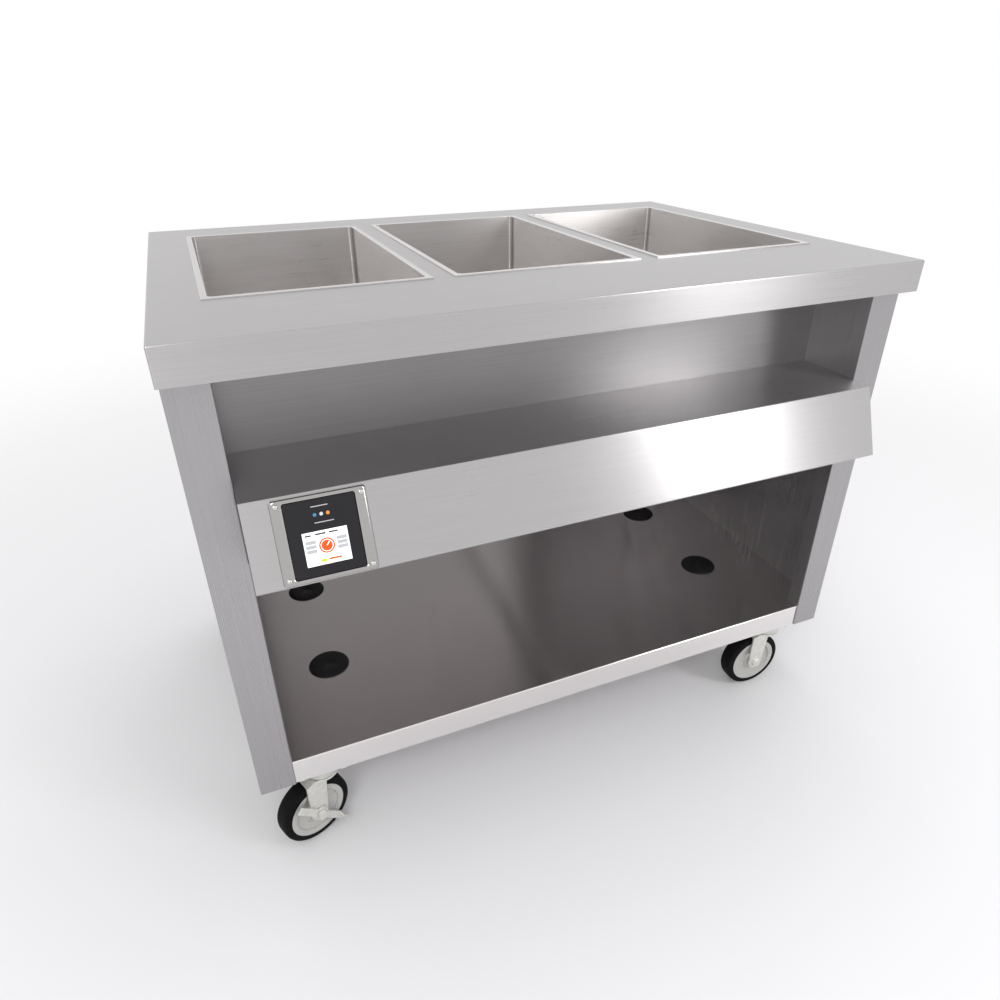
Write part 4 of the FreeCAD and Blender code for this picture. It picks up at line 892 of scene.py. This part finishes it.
@dataclass
class Studio:
    """A pale floor under soft light, and the camera where the picture was taken from."""

    camera_place: tuple[float, float, float] = (-520.45, -1233.91, 1150.32)
    camera_turn: tuple[float, float, float] = (60.52, 0.1, -23.08)
    lens: float = 25.98
    sensor: float = 36.0
    shift: tuple[float, float] = (-0.0073, 0.0024)
    background: str = "#FFFFFF"
    floor_paint: str = "#DDDDDF"
    floor_half: float = 9000.0
    # Where the floor's paint begins to fade to the background, and where it has, from the counter's middle.
    fade_start: float = 900.0
    fade_end: float = 3200.0
    # One wide box over the counter, and two before it that the steel shows.
    boxes: tuple[SoftBox, ...] = (
        SoftBox("overhead_box", (300.0, 300.0, 3000.0), (0.0, 0.0, 800.0), (2200.0, 1800.0), 26.0),
        SoftBox("left_box", (-1290.0, -2050.0, 2100.0), (0.0, 0.0, 300.0), (1000.0, 1000.0), 21.0, True),
        SoftBox("right_box", (1620.0, -2165.0, 1640.0), (0.0, 0.0, 400.0), (500.0, 1400.0), 16.0, True))
    # The studio walls that light matt surfaces, as degrees to the right of straight ahead in front of the
    # counter. The same colours stand behind it, drawn together. Colours are shares of the window's light.
    walls: tuple[tuple[float, str], ...] = (
        (-90, "#A4A4A6"), (-70, "#B9B8B3"), (-28, "#BDBBB4"), (-14, "#A5A4A8"), (-3, "#ADACB4"),
        (6, "#99989E"), (16, "#AC968A"), (22, "#8B868A"), (29.5, "#85848C"), (33.5, "#FFFFFF"),
        (43.5, "#FFFFFC"), (46, "#D3C2C0"), (48.5, "#A0A0A4"), (90, "#ABABAD"))
    ceiling: str = "#B2B2B2"
    window: float = 1.9
    # Heights are shares of the way from level, 0, to straight up, 1.
    front_wall_top: float = 0.6
    back_wall_top: float = 0.3
    cove: float = 0.42
    # Brightness of the ground, the front wall's top and the back wall's two parts, as shares of the window's.
    ground_share: float = 0.47
    front_top_share: float = 1.1
    back_share: float = 1.2
    back_low_share: float = 0.42
    # The degrees over which the walls' colours are spread, in front and behind.
    front_span: tuple[float, float] = (-90.0, 90.0)
    back_span: tuple[float, float] = (-43.0, 72.5)
    # Front passes into back over this share of the way, on each side of straight sideways.
    side_blend: float = 0.1
    # Heights over which the ground, the front wall and the back wall pass from one brightness to the next.
    ground_edge: tuple[float, float] = (-0.5, -0.25)
    front_edge: tuple[float, float] = (0.48, 0.62)
    back_edge: tuple[float, float] = (0.08, 0.22)

    def build(self) -> None:
        """Set up the studio."""
        bpy.context.scene.view_settings.view_transform = "Standard"
        # Light in the wells and the storage bay comes back only after many turns between the steel sheets.
        bpy.context.scene.cycles.max_bounces = 16
        bpy.context.scene.cycles.glossy_bounces = 14
        self.lay_floor()
        self.light_world()
        for box in self.boxes:
            box.hang()
        self.stand_camera()

    def lay_floor(self) -> None:
        """Lay the floor, which fades to plain white far from the counter."""
        mesh = bmesh.new()
        bmesh.ops.create_grid(mesh, x_segments=2, y_segments=2, size=self.floor_half * MM)
        data = bpy.data.meshes.new("studio_floor")
        mesh.to_mesh(data)
        mesh.free()
        floor = bpy.data.objects.new("studio_floor", data)
        bpy.context.scene.collection.objects.link(floor)
        material, tree = start_material("floor_painted_white")
        place = add_node(tree, "ShaderNodeTexCoord").outputs["Object"]
        away = add_node(tree, "ShaderNodeVectorMath", {0: place}, operation="LENGTH")
        fade = add_node(tree, "ShaderNodeMapRange",
                        {"Value": away.outputs["Value"], "From Min": self.fade_start * MM,
                         "From Max": self.fade_end * MM}, interpolation_type="SMOOTHSTEP")
        paint = add_node(tree, "ShaderNodeBsdfDiffuse", {"Color": linear(self.floor_paint)})
        white = add_node(tree, "ShaderNodeEmission", {"Color": linear(self.background), "Strength": 1.0})
        share = add_node(tree, "ShaderNodeMath", {0: fade.outputs["Result"], 1: background_rays(tree)},
                         operation="MULTIPLY")
        surface = add_node(tree, "ShaderNodeMixShader", {0: share.outputs["Value"], 1: paint.outputs["BSDF"],
                                                         2: white.outputs["Emission"]})
        end_material(tree, surface)
        data.materials.append(material)

    def light_world(self) -> None:
        """Light from all round: plain white to the eye and in metal, tinted walls for matt surfaces."""
        world = bpy.data.worlds.new("studio")
        bpy.context.scene.world = world
        world.use_nodes = True
        tree = world.node_tree
        tree.nodes.clear()
        place = add_node(tree, "ShaderNodeTexCoord").outputs["Generated"]
        way = add_node(tree, "ShaderNodeSeparateXYZ", {"Vector": place})
        behind = add_node(tree, "ShaderNodeMapRange",
                          {"Value": way.outputs["Y"], "From Min": -self.side_blend,
                           "From Max": self.side_blend}).outputs["Result"]
        studio = add_node(tree, "ShaderNodeBackground", {"Color": self.paint_room(tree, way, behind),
                                                         "Strength": self.set_level(tree, way, behind)})
        plain = add_node(tree, "ShaderNodeBackground", {"Color": linear(self.background), "Strength": 1.0})
        both = add_node(tree, "ShaderNodeMixShader", {0: background_rays(tree), 1: studio.outputs[0],
                                                      2: plain.outputs[0]})
        add_node(tree, "ShaderNodeOutputWorld", {"Surface": both.outputs["Shader"]})

    def paint_room(self, tree: bpy.types.NodeTree, way: bpy.types.Node,
                   behind: bpy.types.NodeSocket) -> bpy.types.NodeSocket:
        """Colour the walls by how far round they stand, and the ceiling over them.

        Args:
            tree: the world's node tree.
            way: the node that gives a direction's three parts.
            behind: an output that is 0 in front of the counter and 1 behind it.

        Returns:
            The output with the room's colour.
        """
        depth = add_node(tree, "ShaderNodeMath", {0: way.outputs["Y"]}, operation="ABSOLUTE")
        turn = add_node(tree, "ShaderNodeMath", {0: way.outputs["X"], 1: depth.outputs["Value"]},
                        operation="ARCTAN2")
        front, back = [add_node(tree, "ShaderNodeMapRange",
                                {"Value": turn.outputs["Value"], "From Min": math.radians(left),
                                 "From Max": math.radians(right)}).outputs["Result"]
                       for left, right in (self.front_span, self.back_span)]
        around = add_node(tree, "ShaderNodeMix", {0: behind, 2: front, 3: back})
        walls = add_node(tree, "ShaderNodeValToRGB", {"Fac": around.outputs[0]})
        first, last = self.front_span
        ramp = walls.color_ramp.elements
        while len(ramp) < len(self.walls):
            ramp.new(0.5)
        for stop, (degrees, colour) in zip(ramp, self.walls):
            stop.position = (degrees - first) / (last - first)
            stop.color = linear(colour)
        # The front wall reaches higher than the back one before the ceiling takes over.
        rise = add_node(tree, "ShaderNodeMath",
                        {0: behind, 1: self.front_wall_top - self.back_wall_top, 2: way.outputs["Z"]},
                        operation="MULTIPLY_ADD")
        height = add_node(tree, "ShaderNodeMapRange",
                          {"Value": rise.outputs["Value"], "From Min": self.front_wall_top,
                           "From Max": self.front_wall_top + self.cove}, interpolation_type="SMOOTHSTEP")
        room = add_node(tree, "ShaderNodeMix", {0: height.outputs["Result"], 6: walls.outputs["Color"],
                                                7: linear(self.ceiling)}, data_type="RGBA")
        return room.outputs[2]

    def set_level(self, tree: bpy.types.NodeTree, way: bpy.types.Node,
                  behind: bpy.types.NodeSocket) -> bpy.types.NodeSocket:
        """Set the room's brightness: a dim ground, and walls that brighten with height.

        Args:
            tree: the world's node tree.
            way: the node that gives a direction's three parts.
            behind: an output that is 0 in front of the counter and 1 behind it.

        Returns:
            The output with the room's brightness.
        """
        steps = ((self.ground_edge, self.ground_share * self.window, self.window),
                 (self.front_edge, 1.0, self.front_top_share),
                 (self.back_edge, self.back_low_share, self.back_share))
        ground, front, back = [add_node(tree, "ShaderNodeMapRange",
                                        {"Value": way.outputs["Z"], "From Min": low, "From Max": high,
                                         "To Min": below, "To Max": above}).outputs["Result"]
                               for (low, high), below, above in steps]
        side = add_node(tree, "ShaderNodeMix", {0: behind, 2: front, 3: back})
        level = add_node(tree, "ShaderNodeMath", {0: ground, 1: side.outputs[0]}, operation="MULTIPLY")
        return level.outputs["Value"]

    def stand_camera(self) -> None:
        """Stand the camera at the picture's viewpoint."""
        lens = bpy.data.cameras.new("camera")
        lens.sensor_width = self.sensor
        lens.lens = self.lens
        lens.shift_x, lens.shift_y = self.shift
        camera = bpy.data.objects.new("camera", lens)
        bpy.context.scene.collection.objects.link(camera)
        camera.location = Vector(self.camera_place) * MM
        camera.rotation_euler = [math.radians(angle) for angle in self.camera_turn]
        bpy.context.scene.camera = camera


def main() -> None:
    """Build each sub-assembly in order."""
    logging.basicConfig(level=logging.INFO, format="%(name)s: %(message)s")
    studio = Studio()
    for part in (studio, Worktop(), BodyShell(), StorageFloor(), ControlPanel(), CordGland(), CasterSet()):
        LOG.info("building %s", type(part).__name__)
        part.build()


if __name__ == "__main__":
    main()
